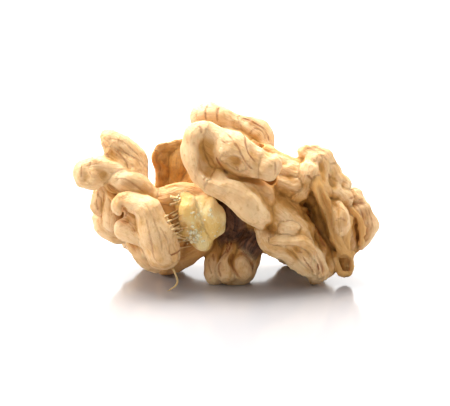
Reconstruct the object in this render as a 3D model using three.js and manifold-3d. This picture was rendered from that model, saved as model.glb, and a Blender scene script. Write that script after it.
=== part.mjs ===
// A shelled walnut kernel, one natural piece: two crinkled wings, a high crown between them,
// a broken middle, a foot the kernel stands on and a rounded, brain-like back.
// Millimetres, +Z up, +X to the right wing, +Y to the back. The origin is under the middle of
// the kernel, on the floor it rests on.
import * as THREE from "three";
import { edgeTable, triTable } from "three/addons/objects/MarchingCubes.js";
import Module from "manifold-3d";

// Driving dimensions, mm.
const CELL = 0.95; // spacing of the points the skin is laid through
const MELT = 0.45; // how far two touching lobes run into each other at their crease
const STATIONS = 5; // steps between two written stations of a lobe
const THINNEST = 0.58; // least radius of a papery ridge
const RESERVE = 3; // depth of empty space kept round the lobes
const FLOOR = 0; // height of the plane the kernel is worn flat on
const SLAB_DEPTH = 5; // how far below that plane everything is taken away
const SLAB_SIDE = 60;
// The stations below are measured from the middle of the foot. This carries them to the origin,
// which is under the middle of the whole kernel.
const FOOT_TO_MIDDLE = [-0.14, -2.05, 0];
const SKIN_COLOUR = 0xe2b478;
const SKIN_ROUGHNESS = 0.58;

// The space the kernel fills, with an empty margin, mm.
const LOW = [-20.6, -9.2, -1.35];
const HIGH = [20.4, 14, 23.5];

// A lobe is a bent, rounded bar: a path of [x, y, z, radius] stations in mm.
const lobe = (name, path, melt = MELT) => ({ name, path, melt });
// A sheet is a lobe pressed thin along one direction.
const sheet = (name, across, thin, path) => ({ ...lobe(name, path), across, thin });

// The solid middle that every fold grows from.
const CORES = [
  lobe("core_left", [
    [-14.3, 2.4, 12, 1.5], [-12.3, 2.2, 9.9, 2.1], [-9.5, 1.5, 8.2, 2.5], [-5.7, 1.8, 8.5, 2.5],
  ]),
  lobe("core_middle", [
    [-4.5, 2.5, 10.5, 2.5], [-1.3, 2, 13.2, 2.8], [1.8, 2, 12.6, 3], [4.6, 1.5, 11.4, 3],
  ]),
  lobe("throat_wall", [
    [1.1, 0.4, 9.4, 1.9], [1.6, 0.2, 7.9, 2], [1.1, 0.4, 6.3, 1.9], [0.6, 0.6, 4.6, 1.9],
  ]),
  lobe("core_low", [[-0.1, 4, 8.8, 2.3], [1.6, 4, 6.2, 2.3], [1.1, 3, 3.4, 1.8]]),
  lobe("core_right", [
    [5, 1.5, 10.8, 3], [8.1, 1.6, 10.1, 3.3], [11.6, 2, 10.6, 2.8], [13.8, 2.4, 8.8, 2.5],
    [14.2, 2.4, 5.7, 2.1],
  ]),
  lobe("core_rear", [
    [-12, 4.5, 7, 3], [-6, 5, 7.6, 4], [1, 5.2, 9.2, 4.7], [8, 4.8, 8.6, 4.2], [13, 4.2, 7.5, 3],
  ]),
  lobe("core_rear_low", [[-6, 5.5, 4.4, 2.5], [0, 6, 5, 2.7], [6, 5.5, 4.4, 2.5]]),
];

// The left wing: a horn over a stubby finger, a hanging tuft and a long front finger.
const LEFT_WING = [
  lobe("horn", [
    [-15, 1.6, 18.3, 0.9], [-14.2, 1.2, 17.7, 1.4], [-13, 0.9, 16.7, 1.8],
    [-11.9, 0.8, 15.3, 1.9], [-11.7, 0.6, 13.8, 1.7],
  ]),
  lobe("horn_shoulder", [
    [-14.1, -0.2, 16.4, 1], [-13, -0.8, 15.6, 1.2], [-11.9, -0.9, 14.5, 1.4],
    [-10.9, -0.6, 12.9, 1.4],
  ], 0.9),
  lobe("horn_hook", [[-14.9, 0.8, 17.7, 0.6], [-14.6, 0.4, 16.7, 0.6], [-14, 0.2, 16.1, 0.7]]),
  lobe("finger_tip", [[-17.6, -1.3, 13.7, 1.1], [-16.6, -1.3, 13.4, 1.1]], 0.7),
  lobe("finger", [
    [-17, -1.3, 14.4, 1.9], [-15.9, -1.5, 14.7, 1.8], [-14.6, -1.2, 14.7, 1.6],
    [-13.1, -0.8, 14.5, 1.6], [-11.8, -0.5, 13.7, 1.6],
  ], 0.7),
  lobe("knuckle", [
    [-14.2, -1.9, 13.9, 0.9], [-12.8, -2.3, 13.6, 1.4], [-11.1, -2.2, 12.8, 1.6],
    [-9.5, -2, 11.3, 1.5],
  ], 0.7),
  sheet("tuft", [-0.35, 1, 0], 0.6, [
    [-15.3, 0.8, 11.9, 1], [-15.9, 0.6, 10.9, 1.1], [-16.1, 0.8, 9.5, 1.1],
  ]),
  lobe("tuft_root", [
    [-14.7, 0.2, 12.1, 1.1], [-14.4, -0.2, 10.7, 1.3], [-14.2, 0, 9.1, 1.3],
    [-14, 0.4, 7.6, 1.3],
  ]),
  lobe("hook_flake", [
    [-14.9, -2.4, 13.8, 0.3], [-14.4, -2.4, 12.8, 0.4], [-13.5, -2.6, 12.2, 0.4],
    [-12.7, -2.8, 12.5, 0.3],
  ]),
  lobe("hook_flake_low", [
    [-14.6, -1.6, 12, 0.4], [-14, -2.2, 11.2, 0.4], [-13.7, -2.8, 10.4, 0.3],
  ]),
  lobe("side_belly", [
    [-15.8, 2.4, 7.7, 1.2], [-15.1, 2.2, 6.5, 1.6], [-13.7, 2, 5.9, 1.6], [-11.9, 1.6, 5.9, 1.5],
  ]),
  lobe("front_finger", [
    [-13, -3.8, 10.1, 0.8], [-12.9, -4.3, 11.1, 1.1], [-11.9, -4.4, 11.3, 1.2],
    [-10.6, -4.6, 11.1, 1.4], [-9.6, -4.9, 10.5, 1.8], [-9, -5.2, 9.2, 2],
    [-8.6, -5.4, 7.9, 2.2], [-8.3, -5.4, 6.4, 2.3], [-7.9, -5.2, 5.1, 2.2],
    [-7.5, -4.7, 4.2, 1.7],
  ]),
  lobe("front_knob", [[-12.6, -3.4, 7.5, 1.3], [-11.4, -3.9, 7.4, 1.3], [-10, -4.2, 6.8, 1.4]]),
  lobe("lower_fold", [
    [-11.5, -1.8, 5.3, 1.1], [-10.7, -2.2, 4.1, 1.1], [-9.8, -2.4, 3.2, 1.1],
    [-8.6, -2.2, 2.7, 1.2],
  ]),
  lobe("inner_wall", [
    [-11.7, -2.6, 9.5, 1.1], [-10.8, -3.2, 8.3, 1.4], [-9.9, -3, 6.7, 1.6], [-9.4, -2.6, 5, 1.5],
  ], 0.7),
];

// The broken middle: a bridge of skin, the bare flesh under it and the plate behind.
const MIDDLE = [
  lobe("bridge", [
    [-10.6, -1.2, 11.6, 1.4], [-8.6, -1.8, 10.7, 1.4], [-6.6, -1.8, 11.4, 1.6],
    [-4.4, -1.4, 11.4, 1.6], [-2.4, -1.6, 11.5, 1.5],
  ], 0.8),
  lobe("torn_wall", [[-7.4, -2.2, 9.6, 1.5], [-6.9, -2.6, 7.9, 1.5], [-6.4, -2.4, 6, 1.5]], 0.7),
  lobe("under_flesh", [
    [-7.5, 2.2, 1.5, 1.6], [-6.2, 0.2, 3.2, 1.8], [-4.7, -0.6, 4.3, 1.9], [-3.2, -1, 5.5, 1.8],
  ]),
  lobe("flesh_left", [
    [-5, -2.9, 10.9, 1.2], [-4.4, -3.6, 9.8, 1.6], [-4.2, -3.6, 8.4, 1.5], [-4.4, -3, 7.3, 1.2],
  ]),
  lobe("flesh_right", [[-2.8, -3.3, 10.5, 1.4], [-1.8, -4, 9.7, 1.7], [-1.5, -3.8, 8.1, 1.4]]),
  lobe("flesh_low", [[-3.5, -3.5, 7.9, 1.4], [-3, -3.6, 6.5, 1.5]]),
  sheet("back_plate_top", [-0.25, 1, 0.1], 0.6, [
    [-8, 3.4, 16.1, 1], [-6.7, 3.4, 16.3, 1], [-5.2, 3.4, 16.6, 1],
  ]),
  sheet("back_plate", [-0.25, 1, 0.1], 0.5, [
    [-7.2, 3.4, 14.8, 1.6], [-7.2, 3.3, 13.3, 1.6], [-7.1, 3.1, 11.5, 1.6],
  ]),
  lobe("back_plate_root", [[-5.5, 3.4, 15.1, 1.6], [-5.4, 3.3, 13.6, 1.9], [-5.5, 3.2, 12, 2]]),
  lobe("plate_edge", [
    [-8.6, 3, 15.8, 0.5], [-8.9, 3, 15.2, 0.5], [-8.7, 3, 13.9, 0.5], [-8.5, 3, 12.6, 0.5],
    [-8.4, 3, 11.4, 0.5],
  ], 0.25),
];

// The crown: two fat folds that meet in a crease, a bar running down from them, a ridge behind.
const CROWN = [
  lobe("crown_left", [
    [-3, -2.8, 20.1, 1], [-3.8, -3.3, 19.5, 1.3], [-4.1, -3.8, 18.2, 1.5],
    [-3.9, -4.3, 16.7, 1.6], [-3, -4.7, 15.3, 1.5], [-1.9, -4.9, 14.4, 1.5],
  ]),
  lobe("crown_right", [
    [-2.2, -2.4, 19.2, 1.7], [0.1, -2.8, 17.6, 2.6], [1.7, -3.2, 16.8, 2.5],
    [3.4, -3.7, 16.2, 2],
  ]),
  lobe("crown_knob", [[4, -3.8, 16.2, 1.7], [5.3, -4.3, 15.8, 1.6]]),
  lobe("crown_fill", [[0.1, -4.4, 17.1, 1.2], [1.3, -4.6, 16.7, 1.3], [2.5, -4.4, 16.1, 1.1]], 0.9),
  lobe("crown_floor", [
    [-2.5, -2, 18.8, 1.5], [-1.8, -2.6, 17.5, 1.6], [-0.9, -2.9, 16, 1.6], [0.1, -2.9, 15, 1.6],
    [1.8, -2.6, 14, 1.6],
  ]),
  lobe("leg", [
    [-1.9, -4.9, 14.4, 1.5], [-0.8, -5.1, 13.8, 1.7], [0.9, -5.2, 12.9, 1.8],
    [2.6, -5.2, 11.5, 1.9], [3.7, -5.1, 10.3, 1.9], [4.4, -4.8, 9.7, 1.5],
  ]),
  lobe("leg_shoulder", [
    [0.8, -3.4, 13.5, 1.6], [2.6, -3.6, 12.8, 1.7], [4.5, -3.6, 11.9, 1.7],
  ], 0.9),
  lobe("rear_crown", [
    [-3.3, 4.2, 20.3, 1.4], [-1.9, 4.2, 20.4, 1.7], [-0.4, 4.4, 19.9, 1.6],
    [1.3, 4.6, 19.2, 1.4],
  ]),
  lobe("rear_crown_end", [
    [1.8, 4.4, 19.4, 1.1], [3.2, 4.6, 18.5, 1.6], [4.4, 4.4, 17.5, 1.7], [4.7, 4.2, 16.3, 1.4],
  ]),
  lobe("rear_crown_body", [[-2.6, 4, 17.9, 2], [0.6, 3.8, 16.7, 2.3], [3.3, 3.6, 15.4, 2]]),
  lobe("rear_top", [
    [-3.4, 4.8, 16.8, 1.7], [-2.2, 6, 17.6, 1.8], [0.8, 6.2, 17.4, 1.8], [3.6, 5.6, 16.4, 1.8],
  ]),
];

// The right wing: lumpy shoulders, a broad face, a folded ribbon of skin and a small open cup.
const RIGHT_WING = [
  lobe("papery_ridge", [
    [3.3, 1.6, 17.5, 0.6], [4.6, 1.2, 17, 0.5], [5.8, 0.8, 16.5, 0.5], [7.3, 0.4, 15.8, 0.5],
    [8.9, 0.2, 15.4, 0.6],
  ]),
  lobe("papery_slope", [[4.6, 2, 15.4, 1.8], [6.3, 1.6, 14.6, 1.8], [8.3, 1.4, 14, 1.8]], 0.8),
  lobe("saddle", [[5.8, 0.2, 12.3, 2.2], [8.1, 0.2, 12, 2.1], [9.8, 0.6, 12.7, 2]], 0.9),
  lobe("saddle_top", [[6.3, -0.4, 15, 1.4], [7.6, -0.6, 14.4, 1.5], [8.9, -0.6, 13.9, 1.4]], 0.9),
  lobe("saddle_fill", [[6.6, -1.4, 12.6, 1.1], [8.3, -1.5, 12.1, 1.1]], 0.9),
  lobe("saddle_fold", [[6.7, -2.2, 13.5, 0.7], [8.1, -2.2, 13.2, 0.8], [9.6, -2, 12.8, 0.7]], 0.8),
  lobe("top_knob", [
    [9.9, 1, 16.5, 1], [11.1, 0.8, 15.9, 1.3], [12.2, 0.6, 15.3, 1.4], [12.6, 0.6, 14.1, 1.4],
  ]),
  lobe("knob_front", [
    [10.7, -0.6, 15.4, 1.2], [10.4, -1.3, 14.7, 1.4], [10, -1.6, 13.6, 1.3],
    [9.5, -1.7, 12.5, 1.1], [9.1, -2, 11.6, 0.9],
  ]),
  lobe("knob_middle", [
    [11.5, -0.6, 14.5, 1.4], [11.6, -1.2, 13.3, 1.4], [12.1, -1.4, 12.1, 1.3],
  ], 0.8),
  lobe("right_slope", [[12.6, 0.4, 14.3, 1.4], [13.6, 0.2, 13, 1.3], [14.5, 0.4, 12.3, 1.1]]),
  lobe("right_slope_low", [
    [12.5, -0.8, 12.8, 1.2], [13.6, -0.8, 11.6, 1.4], [14.8, -0.4, 10.8, 1.2],
  ]),
  lobe("far_right_top", [[15.5, 1.6, 10.8, 1], [16.1, 1.5, 10.4, 1.2], [16.4, 1.4, 9.2, 1.2]]),
  lobe("fan", [
    [16.4, 1, 9.3, 1.2], [17.3, 0.8, 8.2, 1.4], [18, 0.6, 7.4, 1.2], [18, 0.4, 6.3, 1.1],
    [17.6, 0.2, 5.1, 0.9], [17.1, 0, 4.4, 0.6],
  ]),
  lobe("fan_rim", [
    [15.4, -0.6, 9.8, 0.4], [16.1, -1.2, 9.3, 0.3], [16.7, -1.5, 8.5, 0.3],
    [16.9, -1.5, 7.4, 0.3], [17, -1.4, 6.2, 0.3], [16.9, -1.2, 5.1, 0.4],
  ]),
  lobe("fan_floor", [
    [16, 2.4, 8.1, 1.3], [16.2, 2.2, 6.3, 1.6], [16.1, 1.6, 4.7, 1.4], [15.8, 0.4, 3.9, 1],
  ]),
  lobe("belly", [
    [13.6, -2.4, 10, 1.1], [14.1, -2.9, 9.4, 1.4], [14.2, -2.9, 8.3, 1.4],
    [14.1, -2.7, 7.3, 0.9], [14, -2.4, 6.5, 0.4],
  ]),
  lobe("belly_root", [
    [13, -0.6, 9.6, 1.4], [14.1, -0.6, 8.4, 1.7], [14.5, -0.6, 6.5, 1.6], [15, -0.4, 4.9, 1.1],
  ]),
  lobe("belly_flap", [
    [15.5, -2, 8.6, 0.4], [15.3, -2.6, 7.5, 0.6], [15, -2.9, 6.4, 0.7], [15.1, -2.8, 5.2, 0.6],
  ]),
  lobe("folded_ribbon", [
    [10.9, -2.2, 13.7, 0.7], [11.4, -2.8, 12.5, 0.9], [12.1, -3, 10.8, 0.8],
    [12.8, -3.2, 9.2, 0.7], [13.1, -3.2, 7.7, 0.7], [13.8, -3.1, 6.2, 0.9], [14.6, -2.9, 5, 0.9],
    [15.3, -2.6, 4.3, 0.6],
  ]),
  lobe("ribbon_back", [
    [11.5, -1, 12.8, 1], [12.6, -1.6, 10.4, 1], [13.4, -1.8, 7.9, 1], [14.4, -1.8, 5.6, 1],
  ]),
  lobe("face_core", [
    [5.3, -1.6, 9.9, 2.6], [7.3, -2.2, 8, 2.7], [9.1, -2.4, 6, 2.6], [10.8, -2.2, 4, 2.2],
    [11.7, -2, 2.4, 1.6],
  ], 0.9),
  lobe("face_low", [
    [4.6, -3.8, 7.6, 1], [5.6, -4.2, 5.9, 1.4], [7.5, -4.2, 5.2, 1.5], [9.4, -3.7, 3.7, 1.4],
    [10.8, -3.1, 2.3, 1.2],
  ], 0.7),
  lobe("face_tip", [[11.3, -3, 2.1, 1.1], [11.2, -1.6, 1, 1.1]], 0.7),
  lobe("face_plane", [
    [5.3, -4, 6.8, 1.1], [7.1, -4.4, 6, 1.2], [9, -4.4, 5.3, 1.3], [10.1, -4.1, 4.3, 1.2],
    [10.8, -3.5, 3, 1.1],
  ], 0.9),
  lobe("face_ridge", [
    [5.7, -4.9, 6.6, 0.6], [7.2, -5.1, 6.6, 0.7], [8.9, -5, 6.4, 0.7], [10.3, -4.7, 5.9, 0.7],
    [11.1, -4.4, 4.8, 0.7], [11.5, -3.8, 3, 0.8], [11.7, -3.2, 1.7, 0.7],
  ]),
  lobe("face_right", [[12, -1.2, 3.6, 1.4], [12.5, -1.5, 2.6, 1.3], [12.7, -1.4, 1.8, 1]]),
  lobe("face_knob", [[7.5, -4.6, 8, 0.9], [8.3, -4.6, 8, 0.9]], 0.7),
  lobe("cup_back", [[14.7, -0.6, 3.3, 1.3], [15, -0.6, 2.2, 1.4]]),
  lobe("cup_rim", [
    [13.7, -2, 4.1, 0.4], [13.8, -2.4, 3.2, 0.3], [14, -2.5, 2.2, 0.3], [14.5, -2.7, 1.7, 0.4],
    [15, -2.5, 1.8, 0.3], [15.4, -2.3, 1.6, 0.3], [15.6, -2.1, 2.5, 0.3], [15.6, -2.2, 3.4, 0.3],
    [15.8, -2.4, 4.5, 0.4], [15, -2.9, 4.1, 0.3], [14, -2.6, 4.3, 0.3],
  ]),
  lobe("valley_wall", [
    [10.6, 0.8, 11.3, 1.9], [11.5, 0.8, 8.7, 1.9], [12.4, 0.6, 5.9, 1.8], [13.3, 0.2, 4, 1.5],
  ]),
  lobe("face_back", [
    [4.1, 0, 8.6, 2.3], [6.2, 0.6, 6.2, 2.3], [8.7, 0.6, 4.5, 2.3], [11.3, 0.2, 3.2, 1.8],
  ]),
];

// The foot: two blunt toes under the middle.
const FOOT = [
  lobe("foot_right_toe", [
    [2.9, -0.4, 4.5, 1.1], [2.3, -1.6, 3.4, 1.2], [1.9, -2.6, 2.2, 1.5],
  ], 0.25),
  lobe("foot_sole", [[0.5, -1.5, 1.05, 1.3], [1.9, -1.2, 1.05, 1.3]]),
  lobe("foot_side", [[3.6, 0.4, 4.8, 1.3], [3.1, 0, 3.2, 1.4], [2.3, -0.6, 1.6, 1.6]]),
  lobe("foot_front_toe", [[0.7, -1.4, 4.4, 0.9], [0.3, -2.4, 3.2, 0.9], [0.1, -3, 1.8, 1.3]], 0.25),
  lobe("foot_left_toe", [[-1.1, 0.6, 4.2, 1.6], [-1.4, -0.8, 2.8, 1.3], [-1.4, -1.4, 1.3, 1.4]]),
  lobe("foot_middle", [[0.6, 0.8, 4, 2], [0.4, 0.2, 1.9, 2]]),
  lobe("foot_neck", [[3.8, -0.8, 6.1, 1.4], [3.2, -1.2, 4.9, 1.5]], 0.8),
];

// The back: winding folds side by side, two of them reaching down to the floor.
const BACK = [
  lobe("back_wall", [
    [-11.5, 5, 6.4, 2.9], [-5.5, 6.4, 8.2, 3.6], [1, 6.9, 9.3, 4], [7, 6.4, 8.4, 3.6],
    [12.4, 5, 7.4, 2.6],
  ]),
  lobe("back_fold_a", [
    [-2.5, 6.9, 14.3, 1.7], [-3.5, 8.6, 12, 1.9], [-2.6, 9.6, 9.8, 1.9], [-4.4, 9.4, 7.8, 1.9],
    [-3.4, 8.8, 5.6, 1.8], [-4.6, 7.8, 4, 1.6],
  ], 0.9),
  lobe("back_fold_b", [
    [-5.6, 6.2, 11.4, 1.5], [-7.4, 7.8, 10, 1.8], [-7, 8.8, 8, 1.8], [-8.4, 8.3, 6, 1.8],
    [-7, 8, 3.8, 1.8],
  ], 0.9),
  lobe("back_fold_c", [
    [-9.8, 6.2, 8.6, 1.6], [-11.3, 7, 7.6, 1.8], [-10.6, 7.6, 5.6, 1.8], [-11.6, 6.6, 4, 1.6],
  ], 0.9),
  lobe("back_fold_d", [[-14.4, 4.2, 7.4, 1.6], [-14, 5.6, 5.8, 1.7], [-13, 6, 4.4, 1.5]], 0.9),
  lobe("back_left_sole", [[-11, 5.8, 3.6, 2], [-8.6, 6.6, 2.1, 2.4], [-6, 6.6, 3.2, 2]], 0.9),
  lobe("back_fold_e", [
    [1.2, 6.6, 15.6, 1.8], [2.3, 8.4, 13.4, 2], [1.2, 9.5, 11.2, 2], [2.4, 9.7, 8.6, 2],
    [0.9, 9.2, 6.2, 1.9], [2, 8, 4.4, 1.7],
  ], 0.9),
  lobe("back_fold_f", [
    [4.8, 6.2, 13.8, 1.7], [6, 8, 11.8, 1.9], [5.2, 9.1, 9.6, 1.9], [6.8, 8.9, 7.2, 2],
    [5.6, 8.2, 4.8, 1.9],
  ], 0.9),
  lobe("back_fold_g", [
    [8.6, 6, 12, 1.6], [9.8, 7.4, 10.2, 1.8], [9, 8.4, 8.2, 1.8], [10.5, 7.9, 6, 1.9],
    [9.6, 7.2, 4, 1.9],
  ], 0.9),
  lobe("back_right_sole", [[6.6, 6.6, 3.4, 2], [9.4, 6.6, 2.1, 2.4], [12, 5.8, 3.8, 1.8]], 0.9),
  lobe("back_fold_h", [
    [12.2, 4.8, 10.6, 1.5], [13.2, 5.8, 8.8, 1.7], [12.4, 6.5, 6.6, 1.7], [13.2, 5.6, 4.8, 1.6],
  ], 0.9),
  lobe("back_right_edge", [
    [14.6, 3.8, 10, 1.4], [15.6, 4.4, 8.2, 1.6], [15, 4.6, 6, 1.6], [13.8, 4.6, 4.4, 1.6],
  ], 0.9),
];

// Hollows pressed into the skin afterwards.
const HOLLOWS = [
  lobe("cup_hollow", [[14.7, -3.4, 3.8, 0.6], [14.8, -3.4, 2.9, 0.7]]),
  lobe("face_dip", [[8.2, -5.2, 10.4, 1], [9.2, -5.4, 9.4, 1]]),
  lobe("valley_hollow", [
    [9.6, -4, 10.8, 0.7], [10.7, -4.2, 8.8, 1], [11.7, -4.2, 7, 1], [12.6, -3.8, 5.5, 0.7],
  ]),
  lobe("fan_hollow", [[16.2, -0.8, 7.9, 0.6], [16.3, -0.8, 6.7, 0.6], [16.3, -0.8, 5.7, 0.5]]),
];

// Stations of a lobe's path, with STATIONS steps along a smooth curve between two written ones.
function stationsOf(path) {
  if (path.length < 2) return path;
  const at = (i) => {
    if (i < 0) return path[0].map((v, k) => 2 * v - path[1][k]);
    if (i >= path.length) return path.at(-1).map((v, k) => 2 * v - path.at(-2)[k]);
    return path[i];
  };
  const out = [];
  for (let i = 0; i < path.length - 1; i++) {
    const [a, b, c, d] = [at(i - 1), at(i), at(i + 1), at(i + 2)];
    for (let s = 0; s < STATIONS; s++) {
      const t = s / STATIONS;
      out.push(b.map((v, k) => 0.5 * (2 * v + (c[k] - a[k]) * t
        + (2 * a[k] - 5 * v + 4 * c[k] - d[k]) * t * t + (3 * v - a[k] - 3 * c[k] + d[k]) * t * t * t)));
    }
  }
  out.push(path.at(-1));
  return out;
}

// Distance from a point to the skin of a chain of rounded cones, less than 0 inside.
function depthIn(stations, x, y, z) {
  if (stations.length === 1) {
    const [a] = stations;
    return Math.hypot(x - a[0], y - a[1], z - a[2]) - a[3];
  }
  let best = Infinity;
  for (let i = 0; i < stations.length - 1; i++) {
    const a = stations[i];
    const b = stations[i + 1];
    const [ux, uy, uz] = [b[0] - a[0], b[1] - a[1], b[2] - a[2]];
    const [wx, wy, wz] = [x - a[0], y - a[1], z - a[2]];
    const t = THREE.MathUtils.clamp((wx * ux + wy * uy + wz * uz) / (ux * ux + uy * uy + uz * uz), 0, 1);
    const d = Math.hypot(wx - t * ux, wy - t * uy, wz - t * uz) - (a[3] + (b[3] - a[3]) * t);
    if (d < best) best = d;
  }
  return best;
}

// The nearer of two skins, rounded over where they cross.
function melted(a, b, melt) {
  const h = Math.max(melt - Math.abs(a - b), 0) / melt;
  return Math.min(a, b) - h * h * melt * 0.25;
}

// A lobe made ready to measure: its dense stations, its reach and its pressing direction.
function prepared(item) {
  const stations = stationsOf(item.path).map(([x, y, z, r]) => [x, y, z, Math.max(r, THINNEST)]);
  const most = Math.max(...stations.map((s) => s[3])) + 1;
  const low = [0, 1, 2].map((k) => Math.min(...stations.map((s) => s[k])) - most);
  const high = [0, 1, 2].map((k) => Math.max(...stations.map((s) => s[k])) + most);
  if (!item.across) return { ...item, low, high, measure: (x, y, z) => depthIn(stations, x, y, z) };
  const [nx, ny, nz] = new THREE.Vector3(...item.across).normalize().toArray();
  const press = 1 / item.thin - 1;
  const pressed = (x, y, z) => {
    const s = (x * nx + y * ny + z * nz) * press;
    return [x + s * nx, y + s * ny, z + s * nz];
  };
  const flat = stations.map(([x, y, z, r]) => [...pressed(x, y, z), r]);
  return { ...item, low, high, measure: (x, y, z) => depthIn(flat, ...pressed(x, y, z)) * item.thin };
}

// The grid of distances that all the lobes give together.
function distances(lobes, hollows) {
  const count = LOW.map((v, k) => Math.ceil((HIGH[k] - v) / CELL) + 1);
  const values = new Float64Array(count[0] * count[1] * count[2]).fill(RESERVE);
  const index = (i, j, k) => (k * count[1] + j) * count[0] + i;
  const sweep = (item, combine) => {
    const from = item.low.map((v, k) => Math.max(0, Math.floor((v - LOW[k]) / CELL)));
    const to = item.high.map((v, k) => Math.min(count[k] - 1, Math.ceil((v - LOW[k]) / CELL)));
    for (let k = from[2]; k <= to[2]; k++)
      for (let j = from[1]; j <= to[1]; j++)
        for (let i = from[0]; i <= to[0]; i++) {
          const n = index(i, j, k);
          const distance = item.measure(LOW[0] + i * CELL, LOW[1] + j * CELL, LOW[2] + k * CELL);
          values[n] = combine(values[n], distance);
        }
  };
  for (const item of lobes) sweep(prepared(item), (v, d) => melted(v, d, item.melt));
  for (const item of hollows) sweep(prepared(item), (v, d) => -melted(-v, d, item.melt));
  return { count, values, index };
}

const NEIGHBOURS = [[1, 0, 0], [-1, 0, 0], [0, 1, 0], [0, -1, 0], [0, 0, 1], [0, 0, -1]];
const FILLED = -0.2; // distance given to a point that was inside a bubble

// Fills any bubble shut inside the flesh: open space is what the outer corner can reach.
function fillBubbles({ count, values, index }) {
  const open = new Uint8Array(values.length);
  const queue = [[0, 0, 0]];
  open[0] = 1;
  while (queue.length) {
    const [i, j, k] = queue.pop();
    for (const [di, dj, dk] of NEIGHBOURS) {
      const [a, b, c] = [i + di, j + dj, k + dk];
      if (a < 0 || b < 0 || c < 0 || a >= count[0] || b >= count[1] || c >= count[2]) continue;
      const n = index(a, b, c);
      if (open[n] || values[n] < 0) continue;
      open[n] = 1;
      queue.push([a, b, c]);
    }
  }
  for (let n = 0; n < values.length; n++) if (!open[n] && values[n] >= 0) values[n] = FILLED;
}

// Corners of a grid cell in the order the cube tables count them, and its twelve edges.
const CORNERS = [[0, 0, 0], [1, 0, 0], [1, 1, 0], [0, 1, 0], [0, 0, 1], [1, 0, 1], [1, 1, 1], [0, 1, 1]];
const EDGES = [
  [0, 1], [1, 2], [3, 2], [0, 3], [4, 5], [5, 6], [7, 6], [4, 7], [0, 4], [1, 5], [2, 6], [3, 7],
];

// The closed skin through the points where the distance is nought.
function skin({ count, values, index }) {
  const vertices = [];
  const triangles = [];
  const made = new Map();
  const vertexOn = (i, j, k, edge) => {
    const [p, q] = EDGES[edge].map((c) => [i + CORNERS[c][0], j + CORNERS[c][1], k + CORNERS[c][2]]);
    const axis = p[0] !== q[0] ? 0 : p[1] !== q[1] ? 1 : 2;
    const key = index(...p) * 3 + axis;
    if (made.has(key)) return made.get(key);
    const [a, b] = [values[index(...p)], values[index(...q)]];
    const t = THREE.MathUtils.clamp(a / (a - b), 0.1, 0.9);
    const at = p.map((v, n) => LOW[n] + (v + (n === axis ? t : 0)) * CELL);
    made.set(key, vertices.length / 3);
    vertices.push(...at);
    return made.get(key);
  };
  for (let k = 0; k < count[2] - 1; k++)
    for (let j = 0; j < count[1] - 1; j++)
      for (let i = 0; i < count[0] - 1; i++) {
        let kind = 0;
        CORNERS.forEach(([a, b, c], n) => {
          if (values[index(i + a, j + b, k + c)] < 0) kind |= 1 << n;
        });
        if (edgeTable[kind] === 0) continue;
        for (let n = kind * 16; triTable[n] !== -1; n += 3)
          for (const corner of [n, n + 2, n + 1]) triangles.push(vertexOn(i, j, k, triTable[corner]));
      }
  return { vertices: new Float32Array(vertices), triangles: new Uint32Array(triangles) };
}

const wasm = await Module();
wasm.setup();

const solidOf = ({ vertices, triangles }) =>
  new wasm.Manifold(new wasm.Mesh({ numProp: 3, vertProperties: vertices, triVerts: triangles }));

// A closed box between two heights, wide enough to take everything under the floor plane.
function slab(bottom, top) {
  const geometry = new THREE.BoxGeometry(SLAB_SIDE, SLAB_SIDE, top - bottom);
  geometry.translate(0, 0, (top + bottom) / 2);
  const corners = [];
  const place = new Map();
  const position = geometry.getAttribute("position");
  const triangles = Array.from(geometry.index.array, (n) => {
    const at = [position.getX(n), position.getY(n), position.getZ(n)];
    const key = at.join();
    if (!place.has(key)) {
      place.set(key, corners.length / 3);
      corners.push(...at);
    }
    return place.get(key);
  });
  return solidOf({ vertices: new Float32Array(corners), triangles: new Uint32Array(triangles) });
}

const LOBES = [...CORES, ...LEFT_WING, ...MIDDLE, ...CROWN, ...RIGHT_WING, ...FOOT, ...BACK];
const field = distances(LOBES, HOLLOWS);
fillBubbles(field);
const kernel = solidOf(skin(field)).subtract(slab(FLOOR - SLAB_DEPTH, FLOOR));

const mesh = kernel.getMesh();
const geometry = new THREE.BufferGeometry();
geometry.setAttribute("position", new THREE.BufferAttribute(new Float32Array(mesh.vertProperties), 3));
geometry.setIndex(Array.from(mesh.triVerts));
geometry.translate(...FOOT_TO_MIDDLE);
geometry.computeVertexNormals();

const walnut = new THREE.Mesh(
  geometry,
  new THREE.MeshStandardMaterial({ color: SKIN_COLOUR, roughness: SKIN_ROUGHNESS, metalness: 0 }),
);
walnut.name = "walnut_kernel";

const part = new THREE.Group();
part.name = "walnut";
part.add(walnut);

export default part;
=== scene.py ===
"""A shelled walnut kernel, dressed for a close look.

The kernel grew as one piece, so one fine skin is laid over the same lobes that the solid is made
of. Papery edges, torn skin, crumbs and a loose fibre are added to it. All lengths in the classes
are millimetres measured from the middle of the kernel's foot; `Placement` carries them to the
frame, in metres.
"""
from __future__ import annotations

import logging
import math
from collections import deque
from dataclasses import dataclass, field, replace
from enum import Enum
from typing import Any, Sequence

import bmesh
import bpy
import numpy as np
import openvdb
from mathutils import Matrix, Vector
from mathutils.kdtree import KDTree

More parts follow.
